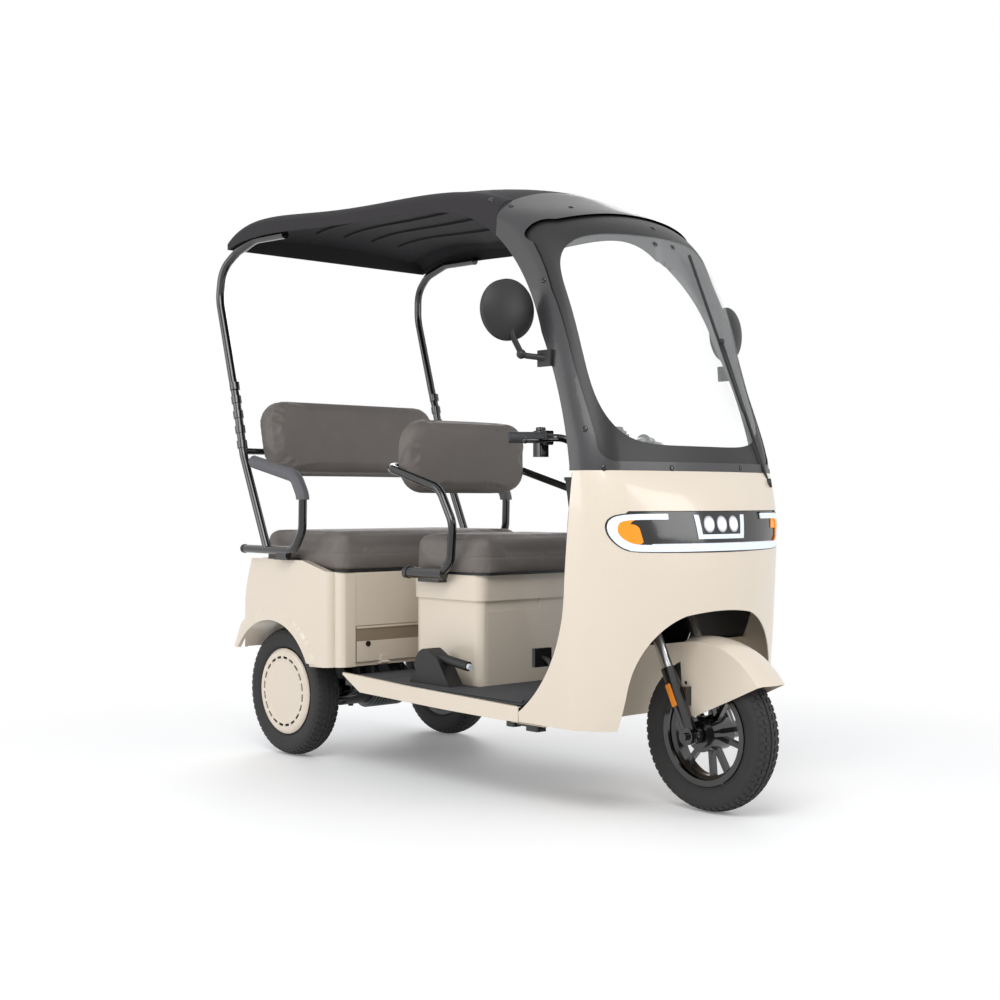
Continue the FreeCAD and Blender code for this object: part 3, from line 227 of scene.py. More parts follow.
CREAM = linear(226, 213, 195)
DARK = linear(54, 52, 54)
BLACK = linear(25, 25, 26)
FINISH = {
    "cream_paint": moulded("cream gloss moulding", CREAM, 0.32, 0.02, 0.00003, 0.55, tone=0.02),
    "inner_panel": moulded("tan inner panel", linear(205, 190, 170), 0.45, 0.004, 0.00003, 0.15),
    "grey_plastic": moulded("dark roof moulding", DARK, 0.38, 0.0012, 0.00003, 0.15),
    "roof_plastic": moulded("matt roof moulding", DARK, 0.62, 0.0012, 0.00004, sheen=0.1),
    "pad_grey": moulded("armrest pad", linear(88, 88, 92), 0.5, 0.001, 0.00004),
    "black_plastic": moulded("grained black plastic", BLACK, 0.5, 0.0012, 0.00006),
    "gloss_black": moulded("gloss black plastic", linear(16, 16, 18), 0.14, 0.02, 0.0, 0.3),
    "black_metal": moulded("black gloss coat", linear(14, 14, 15), 0.16, 0.003, 0.00002, 0.6),
    "chassis_metal": moulded("chassis paint", linear(34, 34, 36), 0.45, 0.003, 0.00005),
    "cast_aluminium": moulded("cast aluminium", linear(120, 122, 124), 0.5, 0.002, 0.00012,
                              metal=0.8),
    "bright_steel": moulded("bright steel", linear(205, 207, 210), 0.22, 0.001, 0.0, metal=1.0),
    "mirror_glass": moulded("mirror glass", linear(235, 238, 240), 0.03, metal=1.0, depth=0.0,
                            scuff=0.0),
    "mat_rubber": moulded("ribbed mat rubber", linear(60, 61, 64), 0.62, 0.0015, 0.0001),
    "floor_steel": moulded("floor steel", linear(40, 40, 42), 0.5, 0.002, 0.00006),
    "battery_case": moulded("battery case", linear(52, 54, 60), 0.5, 0.002, 0.00006),
    # Painted shade: a darker tan for the faces of the battery door's recess.
    "painted_door_shade": moulded("shaded door recess", linear(150, 134, 115), 0.5, 0.004, 0.00003),
    "red_lens": moulded("red lens", linear(150, 16, 14), 0.12, 0.006, 0.00015, 0.8),
    "amber_lens": moulded("amber lens", linear(238, 138, 20), 0.14, 0.006, 0.0002, 0.8),
    "white_plastic": moulded("white light guide", linear(232, 238, 242), 0.2, 0.004, 0.0, 0.5),
}


LAMP_PITCH = 0.05
LAMP_Z = 0.773


def tyre_rubber():
    shader = Shader("tyre rubber")
    dust = shader.noise(0.05, 6.0)
    tint = shader.mix(dust, linear(30, 30, 31), linear(46, 45, 44))
    shader.set(Base_Color=tint, Roughness=0.62 + dust * 0.2)
    shader.bump(shader.noise(0.002, 3.0), 0.00015)
    return shader.material


def seat_vinyl():
    """Soft vinyl: small pebbles with fine creases between them and a low sheen."""
    shader = Shader("seat vinyl")
    pebbles = shader.add("ShaderNodeTexVoronoi", {"feature": "DISTANCE_TO_EDGE"},
                         {"Vector": shader.place, "Scale": 420.0})
    broad = shader.noise(0.08, 4.0)
    tint = shader.mix(broad, linear(100, 94, 90), linear(114, 108, 103))
    shader.set(Base_Color=tint, Roughness=0.5 + broad * 0.16)
    shader.bump(pebbles + shader.noise(0.0012, 3.0) * 0.5, 0.00018)
    return shader.material


def clear_glass():
    shader = Shader("clear glass")
    streaks = shader.noise(0.25, 3.0)
    shader.set(Base_Color=(0.98, 1.0, 1.0, 1.0), Roughness=streaks * 0.03)
    shader.set(Alpha=0.13 + streaks * 0.03)
    shader.body.inputs["Specular IOR Level"].default_value = 0.5
    return shader.material


def lit_lamps():
    """Bright reflectors: white in the middle of each of the three, grey at their rims."""
    shader = Shader("lit lamps")
    across = shader.add("ShaderNodeSeparateXYZ", None, {0: shader.place}, out="Y")
    height = Value(shader, across.socket.node.outputs["Z"])
    middle = abs(across)
    outer = abs(middle - LAMP_PITCH)
    nearest = shader.add("ShaderNodeMath", {"operation": "MINIMUM"},
                         {0: middle, 1: outer})
    reach = (nearest ** 2.0 + (height - LAMP_Z) ** 2.0) ** 0.5
    rim = shader.add("ShaderNodeMapRange", {"interpolation_type": "SMOOTHSTEP"},
                     {"Value": reach, "From Min": 0.01, "From Max": 0.021})
    tint = shader.mix(rim, linear(252, 253, 255), linear(150, 153, 158))
    shader.set(Base_Color=tint, Emission_Color=tint, Roughness=0.15)
    shader.body.inputs["Emission Strength"].default_value = 0.5
    return shader.material


def glowing(name, colour, strength):
    shader = Shader(name)
    soft = shader.noise(0.01, 2.0)
    tint = shader.mix(soft, shade(colour, 0.94), colour)
    shader.set(Base_Color=tint, Emission_Color=tint, Roughness=0.2)
    shader.body.inputs["Emission Strength"].default_value = strength
    return shader.material


FINISH["tyre_rubber"] = tyre_rubber()
FINISH["seat_vinyl"] = seat_vinyl()
FINISH["clear_glass"] = clear_glass()
FINISH["lamp_white"] = lit_lamps()
FINISH["strip_white"] = glowing("lit strip", linear(222, 232, 242), 0.25)
FINISH["amber_lit"] = glowing("amber indicator", linear(240, 146, 24), 0.25)
print(len(FINISH), "finishes")

# %% [markdown]
# The floor only catches the soft shadow under the vehicle, so it turns to plain white
# with the distance. The world and that far floor show as white to the camera, and to
# mirrors and glass, through Light Path. No extra lamp is needed for the white ground.

# %% Floor and world
world = bpy.data.worlds.new("studio")
world.use_nodes = True
scene.world = world
sky = world.node_tree
sky.nodes.clear()


def seen_rays(tree):
    """One for camera, mirror and glass rays, and zero for light that bounces."""
    path = tree.nodes.new("ShaderNodeLightPath")
    total = path.outputs["Is Camera Ray"]
    for name in ("Is Glossy Ray", "Is Transmission Ray"):
        larger = tree.nodes.new("ShaderNodeMath")
        larger.operation = "MAXIMUM"
        tree.links.new(total, larger.inputs[0])
        tree.links.new(path.outputs[name], larger.inputs[1])
        total = larger.outputs[0]
    return total


glow = sky.nodes.new("ShaderNodeBackground")
glow.inputs[0].default_value = (0.9, 0.92, 0.95, 1)
glow.inputs[1].default_value = 0.55
white_sky = sky.nodes.new("ShaderNodeBackground")
white_sky.inputs[0].default_value = (1, 1, 1, 1)
sky_mix = sky.nodes.new("ShaderNodeMixShader")
sky_out = sky.nodes.new("ShaderNodeOutputWorld")
sky.links.new(seen_rays(sky), sky_mix.inputs[0])
sky.links.new(glow.outputs[0], sky_mix.inputs[1])
sky.links.new(white_sky.outputs[0], sky_mix.inputs[2])
sky.links.new(sky_mix.outputs[0], sky_out.inputs[0])

FLOOR_HALF = 30
FLOOR_LIFT = 0.13
floor_shader = Shader("pale floor")
seen = Value(floor_shader, seen_rays(floor_shader.tree))
reach = floor_shader.add("ShaderNodeVectorMath", {"operation": "LENGTH"},
                         {0: floor_shader.place}, out="Value")
fade = floor_shader.add("ShaderNodeMapRange", {"interpolation_type": "SMOOTHSTEP"},
                        {"Value": reach, "From Min": 1.2, "From Max": 2.4})
floor_shader.set(Base_Color=linear(250, 250, 250), Roughness=0.6, Emission_Color=seen * FLOOR_LIFT)
floor_shader.body.inputs["Emission Strength"].default_value = 1.0
plain_white = floor_shader.add("ShaderNodeEmission")
ends = floor_shader.add("ShaderNodeMixShader", None,
                        {0: fade * seen, 1: Value(floor_shader, floor_shader.body.outputs[0]),
                         2: plain_white})
floor_out = floor_shader.tree.get_output_node("ALL")
floor_shader.tree.links.new(ends.socket, floor_out.inputs[0])
floor_mesh = bpy.data.meshes.new("floor")
corners = [(-1, -1), (1, -1), (1, 1), (-1, 1)]
floor_mesh.from_pydata([(x * FLOOR_HALF, y * FLOOR_HALF, 0) for x, y in corners], [],
                       [(0, 1, 2, 3)])
floor = bpy.data.objects.new("floor", floor_mesh)
floor_mesh.materials.append(floor_shader.material)
scene.collection.objects.link(floor)

# %% [markdown]
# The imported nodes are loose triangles. A copy whose points are merged can be shaded
# smooth, and a narrow bevel on its edges catches the light as a moulded or welded edge
# does. Weighted normals keep the large faces flat beside the bevels. The copy then
# stands for the node, and rides where the node rode.

# %% Smooth copies of the CAD nodes
BODY_OF = {node: body for body, members in frame["record"]["behaviour"]["bodies"].items()
           for node in members}
MM = 0.001


def add_piece(name, mesh, finish, body):
    item = bpy.data.objects.new(name, mesh)
    scene.collection.objects.link(item)
    mesh.materials.clear()
    mesh.materials.append(FINISH[finish])
    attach(item, body)
    return item


def smooth(mesh, sharp=32):
    for face in mesh.polygons:
        face.use_smooth = True
    mesh.set_sharp_from_angle(angle=math.radians(sharp))


def closed_mesh(name, points, faces):
    """A mesh whose faces are all turned outwards."""
    mesh = bpy.data.meshes.new(name)
    mesh.from_pydata(points, [], faces)
    work = bmesh.new()
    work.from_mesh(mesh)
    bmesh.ops.recalc_face_normals(work, faces=work.faces)
    work.to_mesh(mesh)
    work.free()
    return mesh


def merged_mesh(name, source, flat=0.0):
    """A clean mesh from a node's loose triangles; flat joins faces in one plane."""
    work = bmesh.new()
    work.from_mesh(source)
    bmesh.ops.remove_doubles(work, verts=work.verts, dist=0.03 * MM)
    if flat:
        bmesh.ops.dissolve_limit(work, angle_limit=math.radians(flat), verts=work.verts,
                                 edges=work.edges)
    work.verts.index_update()
    points = [v.co.copy() for v in work.verts]
    faces = [[v.index for v in face.verts] for face in work.faces]
    work.free()
    mesh = bpy.data.meshes.new(name)
    mesh.from_pydata(points, [], faces)
    return mesh


def applied(item):
    """The piece with its modifiers turned into plain mesh."""
    bpy.context.view_layer.update()
    graph = bpy.context.evaluated_depsgraph_get()
    mesh = bpy.data.meshes.new_from_object(item.evaluated_get(graph))
    old = item.data
    item.modifiers.clear()
    item.data = mesh
    mesh.name = item.name
    if old.users == 0:
        bpy.data.meshes.remove(old)
    return item


def dress(node, finish, bevel=0.0, sharp=32):
    mesh = merged_mesh(node + "_look", NODES[node].data, 0.4 if bevel else 0.0)
    smooth(mesh, sharp)
    item = add_piece(node + "_look", mesh, finish, BODY_OF[node])
    if bevel:
        edge = item.modifiers.new("edge", "BEVEL")
        edge.width = bevel * MM
        edge.segments = 2
        edge.limit_method = "ANGLE"
        edge.angle_limit = math.radians(38)
        edge.use_clamp_overlap = True
        edge.miter_outer = "MITER_ARC"
    level = item.modifiers.new("flat faces", "WEIGHTED_NORMAL")
    level.keep_sharp = True
    applied(item)
    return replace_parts(item, node)


def paint(item, finish, chosen):
    """Gives a second finish to the faces whose middle is chosen."""
    item.data.materials.append(FINISH[finish])
    last = len(item.data.materials) - 1
    for face in item.data.polygons:
        if chosen(face.center):
            face.material_index = last
    return item


PLAIN = {
    "front_fairing": ("cream_paint", 0.8), "side_skirts": ("cream_paint", 0.8),
    "rear_body": ("cream_paint", 0.8), "battery_door": ("cream_paint", 0.8),
    "rear_front_panel": ("cream_paint", 0.8), "driver_seat_box": ("cream_paint", 1.0),
    "front_fender": ("cream_paint", 0.6, 60), "wheel_arch_liner": ("inner_panel", 0.6),
    "rear_hubcap_left": ("cream_paint", 0.5), "rear_hubcap_right": ("cream_paint", 0.5),
    "windscreen_frame": ("grey_plastic", 0.8), "roof_panel": ("roof_plastic", 0.8),
    "rear_arm_pads": ("pad_grey", 0.0), "leg_shield": ("black_plastic", 0.8),
    "dash_console": ("black_plastic", 1.0), "mirrors": ("black_plastic", 0.6),
    "windscreen_wiper": ("black_plastic", 0.3), "parking_brake": ("black_plastic", 0.5),
    "brake_pedal": ("black_plastic", 0.5), "instrument_pod": ("black_plastic", 0.8),
    "headlamp_housing": ("gloss_black", 0.6), "chassis_frame": ("chassis_metal", 1.0),
    "roof_posts": ("black_metal", 0.0), "rear_armrests": ("black_metal", 0.0),
    "driver_seat_frame": ("black_metal", 0.0), "handlebar": ("black_metal", 0.0),
    "brake_levers": ("black_metal", 0.4), "front_rim": ("black_metal", 0.8),
    "rear_rim_left": ("black_metal", 0.6), "rear_rim_right": ("black_metal", 0.6),
    "rear_axle": ("chassis_metal", 0.6), "rear_suspension": ("chassis_metal", 0.6),
    "fork": ("black_metal", 0.6), "drive_motor": ("cast_aluminium", 1.0),
    "floor_mat": ("mat_rubber", 0.6),
    "handlebar_grips": ("mat_rubber", 0.4), "floor_panel": ("floor_steel", 0.5),
    "windscreen_glass": ("clear_glass", 0.0), "mirror_glasses": ("mirror_glass", 0.0),
    "tail_lamps": ("red_lens", 0.5), "fork_reflectors": ("amber_lens", 0.8),
    "lamp_lenses": ("strip_white", 0.3), "indicator_lenses": ("amber_lit", 0.4),
    "battery_pack": ("battery_case", 1.5),
}
LOOK = {node: dress(node, *recipe) for node, recipe in PLAIN.items()}
print(len(LOOK), "nodes dressed")

# %% [markdown]
# The seats are foam in soft vinyl. A block with round corners, a little small, is
# remeshed into even squares and blown up by Cloth with an inner pressure, so it crowns
# in the middle and pulls in between its corners. Points on the lid or on the back face
# are held. The pressure's reach is capped so that the pad keeps the size the CAD gives it.

# %% Stuffed seats
VOXEL = 6 * MM
SWELL_FRAMES = 20
PRESSURE = 4.0
REACH = 7 * MM


def held_weight(item, held):
    group = item.vertex_groups.new(name="held")
    for point in item.data.vertices:
        if held(point.co):
            group.add([point.index], 1.0, "REPLACE")
    return group.name


def blown_up(item, held, reach):
    """Swells the piece like a filled cover, each point by no more than reach."""
    start = [point.co.copy() for point in item.data.vertices]
    cloth = item.modifiers.new("filling", "CLOTH")
    cover = cloth.settings
    cover.quality = 4
    cover.tension_stiffness = 30
    cover.compression_stiffness = 30
    cover.bending_stiffness = 4
    cover.vertex_group_mass = held_weight(item, held)
    cover.use_pressure = True
    cover.uniform_pressure_force = PRESSURE
    cover.effector_weights.gravity = 0
    cloth.point_cache.frame_start = 1
    cloth.point_cache.frame_end = SWELL_FRAMES
    for step in range(1, SWELL_FRAMES + 1):
        scene.frame_set(step)
    applied(item)
    scene.frame_set(1)
    farthest = 0.0
    for point, origin in zip(item.data.vertices, start):
        move = point.co - origin
        farthest = max(farthest, move.length)
        if move.length > reach:
            point.co = origin + move.normalized() * reach
    print(item.name, "swelled by up to", round(farthest / MM, 1), "mm")


def pad_block(name, low, high, corner, edge):
    """A block with round plan corners and a soft top edge."""
    work = bmesh.new()
    bmesh.ops.create_cube(work, size=1.0)
    size = Vector(high) - Vector(low)
    bmesh.ops.scale(work, vec=size, verts=work.verts)
    bmesh.ops.translate(work, vec=(Vector(high) + Vector(low)) / 2, verts=work.verts)
    upright = [e for e in work.edges if abs(e.verts[0].co.z - e.verts[1].co.z) > size.z / 2]
    bmesh.ops.bevel(work, geom=upright, offset=corner, segments=8, profile=0.5, affect="EDGES")
    rim = [e for e in work.edges if min(v.co.z for v in e.verts) > high[2] - MM
           and any(abs(f.normal.z) < 0.5 for f in e.link_faces)]
    bmesh.ops.bevel(work, geom=rim, offset=edge, segments=6, profile=0.5, affect="EDGES")
    mesh = bpy.data.meshes.new(name)
    work.to_mesh(mesh)
    work.free()
    return mesh


def even_squares(item):
    grid = item.modifiers.new("squares", "REMESH")
    grid.mode = "VOXEL"
    grid.voxel_size = VOXEL
    applied(item)


def seat_pad(name, mesh, node, held, seam):
    item = add_piece(name, mesh, "seat_vinyl", BODY_OF[node])
    even_squares(item)
    blown_up(item, held, REACH)
    finer = item.modifiers.new("finer", "SUBSURF")
    finer.levels = finer.render_levels = 1
    applied(item)
    sink_seam(item.data, *seam)
    smooth(item.data, 180)
    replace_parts(item, node)
    return item


def sink_seam(mesh, axis, level, depth=1.6 * MM, width=2.4 * MM):
    """Draws a sewn line into the cover where a plane across axis meets its side."""
    for point in mesh.vertices:
        off = abs(point.co.dot(axis) - level)
        if off < 3 * width:
            outward = point.normal - axis * point.normal.dot(axis)
            point.co -= outward * depth * math.exp(-(off / width) ** 2)


UP = Vector((0, 0, 1))
SHRINK = 4 * MM
LID_T = 7 * MM


def cushion(node, name, corner, edge):
    low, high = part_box(node)
    board_top = low.z + LID_T
    inset = Vector((SHRINK, SHRINK, 0))
    bottom = low + inset
    bottom.z = board_top
    top = high - inset - UP * SHRINK
    mesh = pad_block(name, bottom, top, corner, edge)
    seam = (UP, board_top + 0.42 * (high.z - board_top))
    pad = seat_pad(name, mesh, node, lambda p: p.z < board_top + MM, seam)
    board = pad_block(name + "_board", low + inset * 2, high - inset * 2, corner, MM)
    for point in board.vertices:
        point.co.z = low.z + (point.co.z - low.z) / (high.z - low.z) * (LID_T + MM)
    smooth(board)
    add_piece(name + "_board", board, "black_plastic", BODY_OF[node])
    return pad


def hinge_eyes(node, name, chosen):
    """The steel half of the hinge, which the pad's node holds as well."""
    mesh = merged_mesh(name, NODES[node].data)
    work = bmesh.new()
    work.from_mesh(mesh)
    away = [face for face in work.faces if not chosen(face.calc_center_median())]
    bmesh.ops.delete(work, geom=away, context="FACES")
    work.to_mesh(mesh)
    work.free()
    smooth(mesh)
    add_piece(name, mesh, "black_metal", BODY_OF[node])


cushion("bench_cushion", "bench_pad", 38 * MM, 24 * MM)
cushion("driver_cushion", "driver_pad", 52 * MM, 28 * MM)
bench_back = at(-98, 0, 0).x
box_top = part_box("driver_seat_box")[1].z
hinge_eyes("bench_cushion", "bench_hinge_eyes", lambda p: p.x < bench_back - 0.1 * MM)
hinge_eyes("driver_cushion", "driver_hinge_eyes", lambda p: p.z < box_top + 0.4 * MM)


def back_pad(node, name, lean):
    """A backrest: the points of its back face, which leans by that angle, are held."""
    front = Vector((math.cos(lean), 0, -math.sin(lean)))
    mesh = merged_mesh(name, NODES[node].data)
    depths = [point.co.dot(front) for point in mesh.vertices]
    back, face = min(depths), max(depths)
    middle = sum(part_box(node), Vector()) / 2
    for point in mesh.vertices:
        off = point.co - middle
        off -= front * off.dot(front)
        point.co -= off.normalized() * SHRINK
        if point.co.dot(front) > (back + face) / 2:
            point.co -= front * SHRINK
    seam = (front, back + 0.3 * (face - back))
    return seat_pad(name, mesh, node, lambda p: p.dot(front) < back + 2 * MM, seam)


BENCH_LEAN = math.radians(-13)
back_pad("bench_backrest", "bench_back_pad", BENCH_LEAN)
back_pad("driver_backrest", "driver_back_pad", 0.0)

# %% [markdown]
# A tyre is a turned body with a tread cut into its crown. The body is one profile spun
# round the hub, a few millimetres under the full radius. The tread's blocks repeat
# round it, so Geometry Nodes turn one block a small step at a time: a point for each
# block lies on the hub, and each instance is only rotated.

# %% Tyres


def copying_tree(name, finish, inputs):
    """A Geometry Nodes tree that copies a shape onto points and makes the copies real."""
    tree = bpy.data.node_groups.new(name, "GeometryNodeTree")
    face = tree.interface
    face.new_socket("Geometry", in_out="INPUT", socket_type="NodeSocketGeometry")
    sockets = [face.new_socket(label, in_out="INPUT", socket_type="NodeSocket" + kind)
               for label, kind in inputs]
    face.new_socket("Geometry", in_out="OUTPUT", socket_type="NodeSocketGeometry")
    nodes, join = tree.nodes, tree.links.new
    given = nodes.new("NodeGroupInput")
    copies = nodes.new("GeometryNodeInstanceOnPoints")
    real = nodes.new("GeometryNodeRealizeInstances")
    coat = nodes.new("GeometryNodeSetMaterial")
    coat.inputs["Material"].default_value = FINISH[finish]
    result = nodes.new("NodeGroupOutput")
    join(copies.outputs[0], real.inputs[0])
    join(real.outputs[0], coat.inputs["Geometry"])
    join(coat.outputs[0], result.inputs[0])
    return tree, given, copies, [socket.identifier for socket in sockets]


def ring_tree(finish):
    """Turns the given mesh round the Y axis, count times."""
    inputs = (("Count", "Int"), ("Step", "Float"), ("Start", "Float"))
    tree, given, copies, sockets = copying_tree("ring", finish, inputs)
    nodes, join = tree.nodes, tree.links.new
    line = nodes.new("GeometryNodeMeshLine")
    line.inputs["Offset"].default_value = (0, 0, 0)
    turn = nodes.new("ShaderNodeMath")
    turn.operation = "MULTIPLY_ADD"
    angles = nodes.new("ShaderNodeCombineXYZ")
    join(given.outputs["Count"], line.inputs["Count"])
    join(nodes.new("GeometryNodeInputIndex").outputs[0], turn.inputs[0])
    join(given.outputs["Step"], turn.inputs[1])
    join(given.outputs["Start"], turn.inputs[2])
    join(turn.outputs[0], angles.inputs["Y"])
    join(line.outputs[0], copies.inputs["Points"])
    join(given.outputs["Geometry"], copies.inputs["Instance"])
    join(angles.outputs[0], copies.inputs["Rotation"])
    return tree, sockets


def grown(name, mesh, tree, sockets, values):
    """The plain mesh that a tree makes from a mesh and the values of its inputs."""
    maker = bpy.data.objects.new(name, mesh)
    scene.collection.objects.link(maker)
    setter = maker.modifiers.new(name, "NODES")
    setter.node_group = tree
    for socket, value in zip(sockets, values):
        setter[socket] = value
    applied(maker)
    made = maker.data
    bpy.data.objects.remove(maker)
    return made


RING = ring_tree("tyre_rubber")


def ring_of(mesh, count, hub, start):
    """One mesh of count copies of a piece drawn at the hub, turned round the hub's axis."""
    made = grown("ring", mesh, *RING, (count, math.tau / count, start))
    made.transform(Matrix.Translation(hub))
    return made


def spun(name, profile, steps):
    """A ring from a closed profile of (radius, y) points spun round the Y axis."""
    points = []
    for step in range(steps):
        turn = math.tau * step / steps
        points += [(r * math.cos(turn), y, r * math.sin(turn)) for r, y in profile]
    size = len(profile)
    faces = []
    for step in range(steps):
        here, there = step * size, (step + 1) % steps * size
        for k in range(size):
            after = (k + 1) % size
            faces.append((here + k, here + after, there + after, there + k))
    return closed_mesh(name, points, faces)


def prism_block(name, outline, low, high, across):
    """A tread block: an outline of (angle, y) on the crown, from radius low to high."""
    points = []
    for radius in (low, high):
        share = 1.0 if radius == low else 0.93
        mid_a = sum(a for a, _ in outline) / len(outline)
        mid_y = sum(y for _, y in outline) / len(outline)
        for a, y in outline:
            turn = mid_a + (a - mid_a) * share
            place = mid_y + (y - mid_y) * share
            drop = crown_drop(place, across)
            points.append(((radius - drop) * math.cos(turn), place,
                           (radius - drop) * math.sin(turn)))
    n = len(outline)
    faces = [tuple(range(n))[::-1], tuple(range(n, 2 * n))]
    faces += [(k, (k + 1) % n, n + (k + 1) % n, n + k) for k in range(n)]
    return closed_mesh(name, points, faces)


TREAD_DEPTH = 3.2 * MM
TYRE_HALF = 44 * MM
BEAD_R = 140.6 * MM


def crown_drop(y, half):
    """How far the crown lies under the full radius at y."""
    return 15 * MM * (abs(y) / half) ** 2.4


def joined(name, meshes):
    work = bmesh.new()
    for mesh in meshes:
        work.from_mesh(mesh)
        bpy.data.meshes.remove(mesh)
    mesh = bpy.data.meshes.new(name)
    work.to_mesh(mesh)
    work.free()
    return mesh


def tyre_body(hub):
    carcass = WHEEL_R - TREAD_DEPTH
    sweep = [-36 + 4 * k for k in range(19)]
    crown = [(carcass - crown_drop(y * MM, TYRE_HALF), y * MM) for y in sweep]
    side = [(192, 41), (189, 42.6), (183, 43.6), (176, 44), (172, 43.8), (170, 43), (166, 43.2),
            (158, 42), (151, 39.4), (146, 36), (141, 31)]
    right = [(r * MM, y * MM) for r, y in side]
    left = [(r, -y) for r, y in reversed(right)]
    under = [(BEAD_R, 27 * MM), (BEAD_R, -27 * MM)]
    mesh = spun("carcass", left + crown + right + under, 128)
    mesh.transform(Matrix.Translation(hub))
    return mesh


TREAD_STEPS = 58


def tread(hub):
    """Slanted blocks in two rows beside a zigzag rib, and shoulder blocks outside."""
    pitch = math.tau / TREAD_STEPS
    low = WHEEL_R - TREAD_DEPTH - 1.5 * MM
    rib = [(-0.5, -6), (0.0, -3), (0.5, -6), (0.5, 2), (0.0, 5), (-0.5, 2)]
    inner = [(-0.42, 9), (0.16, 12), (0.16, 24), (-0.42, 21)]
    shoulder = [(-0.4, 27), (0.34, 29), (0.34, 39), (-0.4, 39)]
    made = []
    for outline, sides in ((rib, (1,)), (inner, (1, -1)), (shoulder, (1, -1))):
        for side in sides:
            shape = [(a * pitch * 0.98, y * side * MM) for a, y in outline]
            block = prism_block("block", shape, low, WHEEL_R - 0.3 * MM, TYRE_HALF)
            start = 0.0 if side == 1 else pitch / 2
            made.append(ring_of(block, TREAD_STEPS, hub, start))
    return made


for node in ("front_tyre", "rear_tyre_left", "rear_tyre_right"):
    hub = sum(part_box(node), Vector()) / 2
    rubber = joined(node + "_rubber", [tyre_body(hub)] + tread(hub))
    smooth(rubber, 30)
    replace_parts(add_piece(node + "_rubber", rubber, "tyre_rubber", BODY_OF[node]),
                node)

# %% [markdown]
# The windscreen is one bent pane. Its edge is printed black, so that the glue under it
# stays hidden. The clear field is a rounded shape in the front view, written as one sum:
# fifth powers of the distances across and upwards. Past one, the pane is printed.

# %% Windscreen pane
CLEAR_MIDDLE_Z = 1.274
CLEAR_HALF = (0.324, 0.292)
ROUNDNESS = 5.0


def windscreen_glass():
    shader = Shader("windscreen glass")
    split = shader.add("ShaderNodeSeparateXYZ", None, {0: shader.place}, out="Y")
    height = Value(shader, split.socket.node.outputs["Z"])
    across = abs(split * (1 / CLEAR_HALF[0])) ** ROUNDNESS
    upright = abs(height * (1 / CLEAR_HALF[1]) - CLEAR_MIDDLE_Z / CLEAR_HALF[1]) ** ROUNDNESS
    printed = (across + upright) > 1.0
    streaks = shader.noise(0.25, 3.0)
    shader.set(Base_Color=shader.mix(printed, (0.96, 0.98, 0.98, 1), linear(18, 18, 19)))
    shader.set(Alpha=0.1 + streaks * 0.03 + printed * 0.9)
    shader.set(Roughness=0.03 + streaks * 0.02 + printed * 0.4)
    return shader.material


FINISH["windscreen_glass"] = windscreen_glass()
LOOK["windscreen_glass"].data.materials[0] = FINISH["windscreen_glass"]

# %% [markdown]
# Screws hold the mouldings together. Their places are read off the picture: a ray from
# the camera through a point of it meets the moulding, and the head sits there, square to
# the surface. Each is mirrored to the other side, unless one is there already. Geometry
# Nodes set one head on each of these points.

# %% Screws
PICTURE = 1000
SENSOR = 36
FOCAL = camera_data.lens / SENSOR * PICTURE
SCREW_SPACE = 60 * MM


def surface_tree(*pieces):
    """A search tree over the faces of finished pieces."""
    work = bmesh.new()
    for item in pieces:
        work.from_mesh(item.data)
    found = BVHTree.FromBMesh(work)
    work.free()
    return found


def seen_at(column, row, surface):
    """Where the camera's ray through a point of the picture meets a surface."""
    half = PICTURE / 2
    ray = Vector(((column - half) / FOCAL, (half - row) / FOCAL, -1))
    turn = camera.rotation_euler.to_matrix()
    place, normal, _, _ = surface.ray_cast(camera.location, (turn @ ray).normalized())
    return place, normal


def screw_head(radius=8 * MM, height=2.6 * MM, steps=14):
    """A low round head with a sunk middle."""
    rings = [(radius, -1.0), (radius, 0.45), (radius * 0.86, 0.85), (radius * 0.5, 1.0),
             (radius * 0.42, 0.55)]
    points, faces = [], []
    for r, level in rings:
        for step in range(steps):
            turn = math.tau * step / steps
            points.append((r * math.cos(turn), r * math.sin(turn), level * height))
    for ring in range(len(rings) - 1):
        for step in range(steps):
            after = (step + 1) % steps
            low, high = ring * steps, (ring + 1) * steps
            faces.append((low + step, low + after, high + after, high + step))
    faces.append(tuple(range((len(rings) - 1) * steps, len(rings) * steps)))
    faces.append(tuple(reversed(range(steps))))
    mesh = bpy.data.meshes.new("screw_head")
    mesh.from_pydata(points, [], faces)
    return mesh


head_source = bpy.data.objects.new("screw_source", screw_head())
scene.collection.objects.link(head_source)


def stud_tree(finish, head):
    """Sets a head on every given point, facing its normal."""
    tree, given, copies, sockets = copying_tree("studs", finish, (("Size", "Float"),))
    nodes, join = tree.nodes, tree.links.new
    source = nodes.new("GeometryNodeObjectInfo")
    source.inputs["Object"].default_value = head
    facing = nodes.new("GeometryNodeInputNamedAttribute")
    facing.data_type = "FLOAT_VECTOR"
    facing.inputs["Name"].default_value = "facing"
    turn = nodes.new("FunctionNodeAlignRotationToVector")
    join(facing.outputs[0], turn.inputs["Vector"])
    join(given.outputs["Geometry"], copies.inputs["Points"])
    join(source.outputs["Geometry"], copies.inputs["Instance"])
    join(turn.outputs[0], copies.inputs["Rotation"])
    join(given.outputs["Size"], copies.inputs["Scale"])
    return tree, sockets


STUDS = stud_tree("gloss_black", head_source)


def studs(name, places, body, size=1.0):
    """One piece of screw heads at (place, normal) pairs."""
    mesh = bpy.data.meshes.new(name)
    mesh.from_pydata([place for place, _ in places], [], [])
    facing = mesh.attributes.new("facing", "FLOAT_VECTOR", "POINT")
    for item, (_, normal) in zip(facing.data, places):
        item.vector = normal
    heads = grown(name, mesh, *STUDS, (size,))
    smooth(heads, 40)
    return add_piece(name, heads, "gloss_black", body)


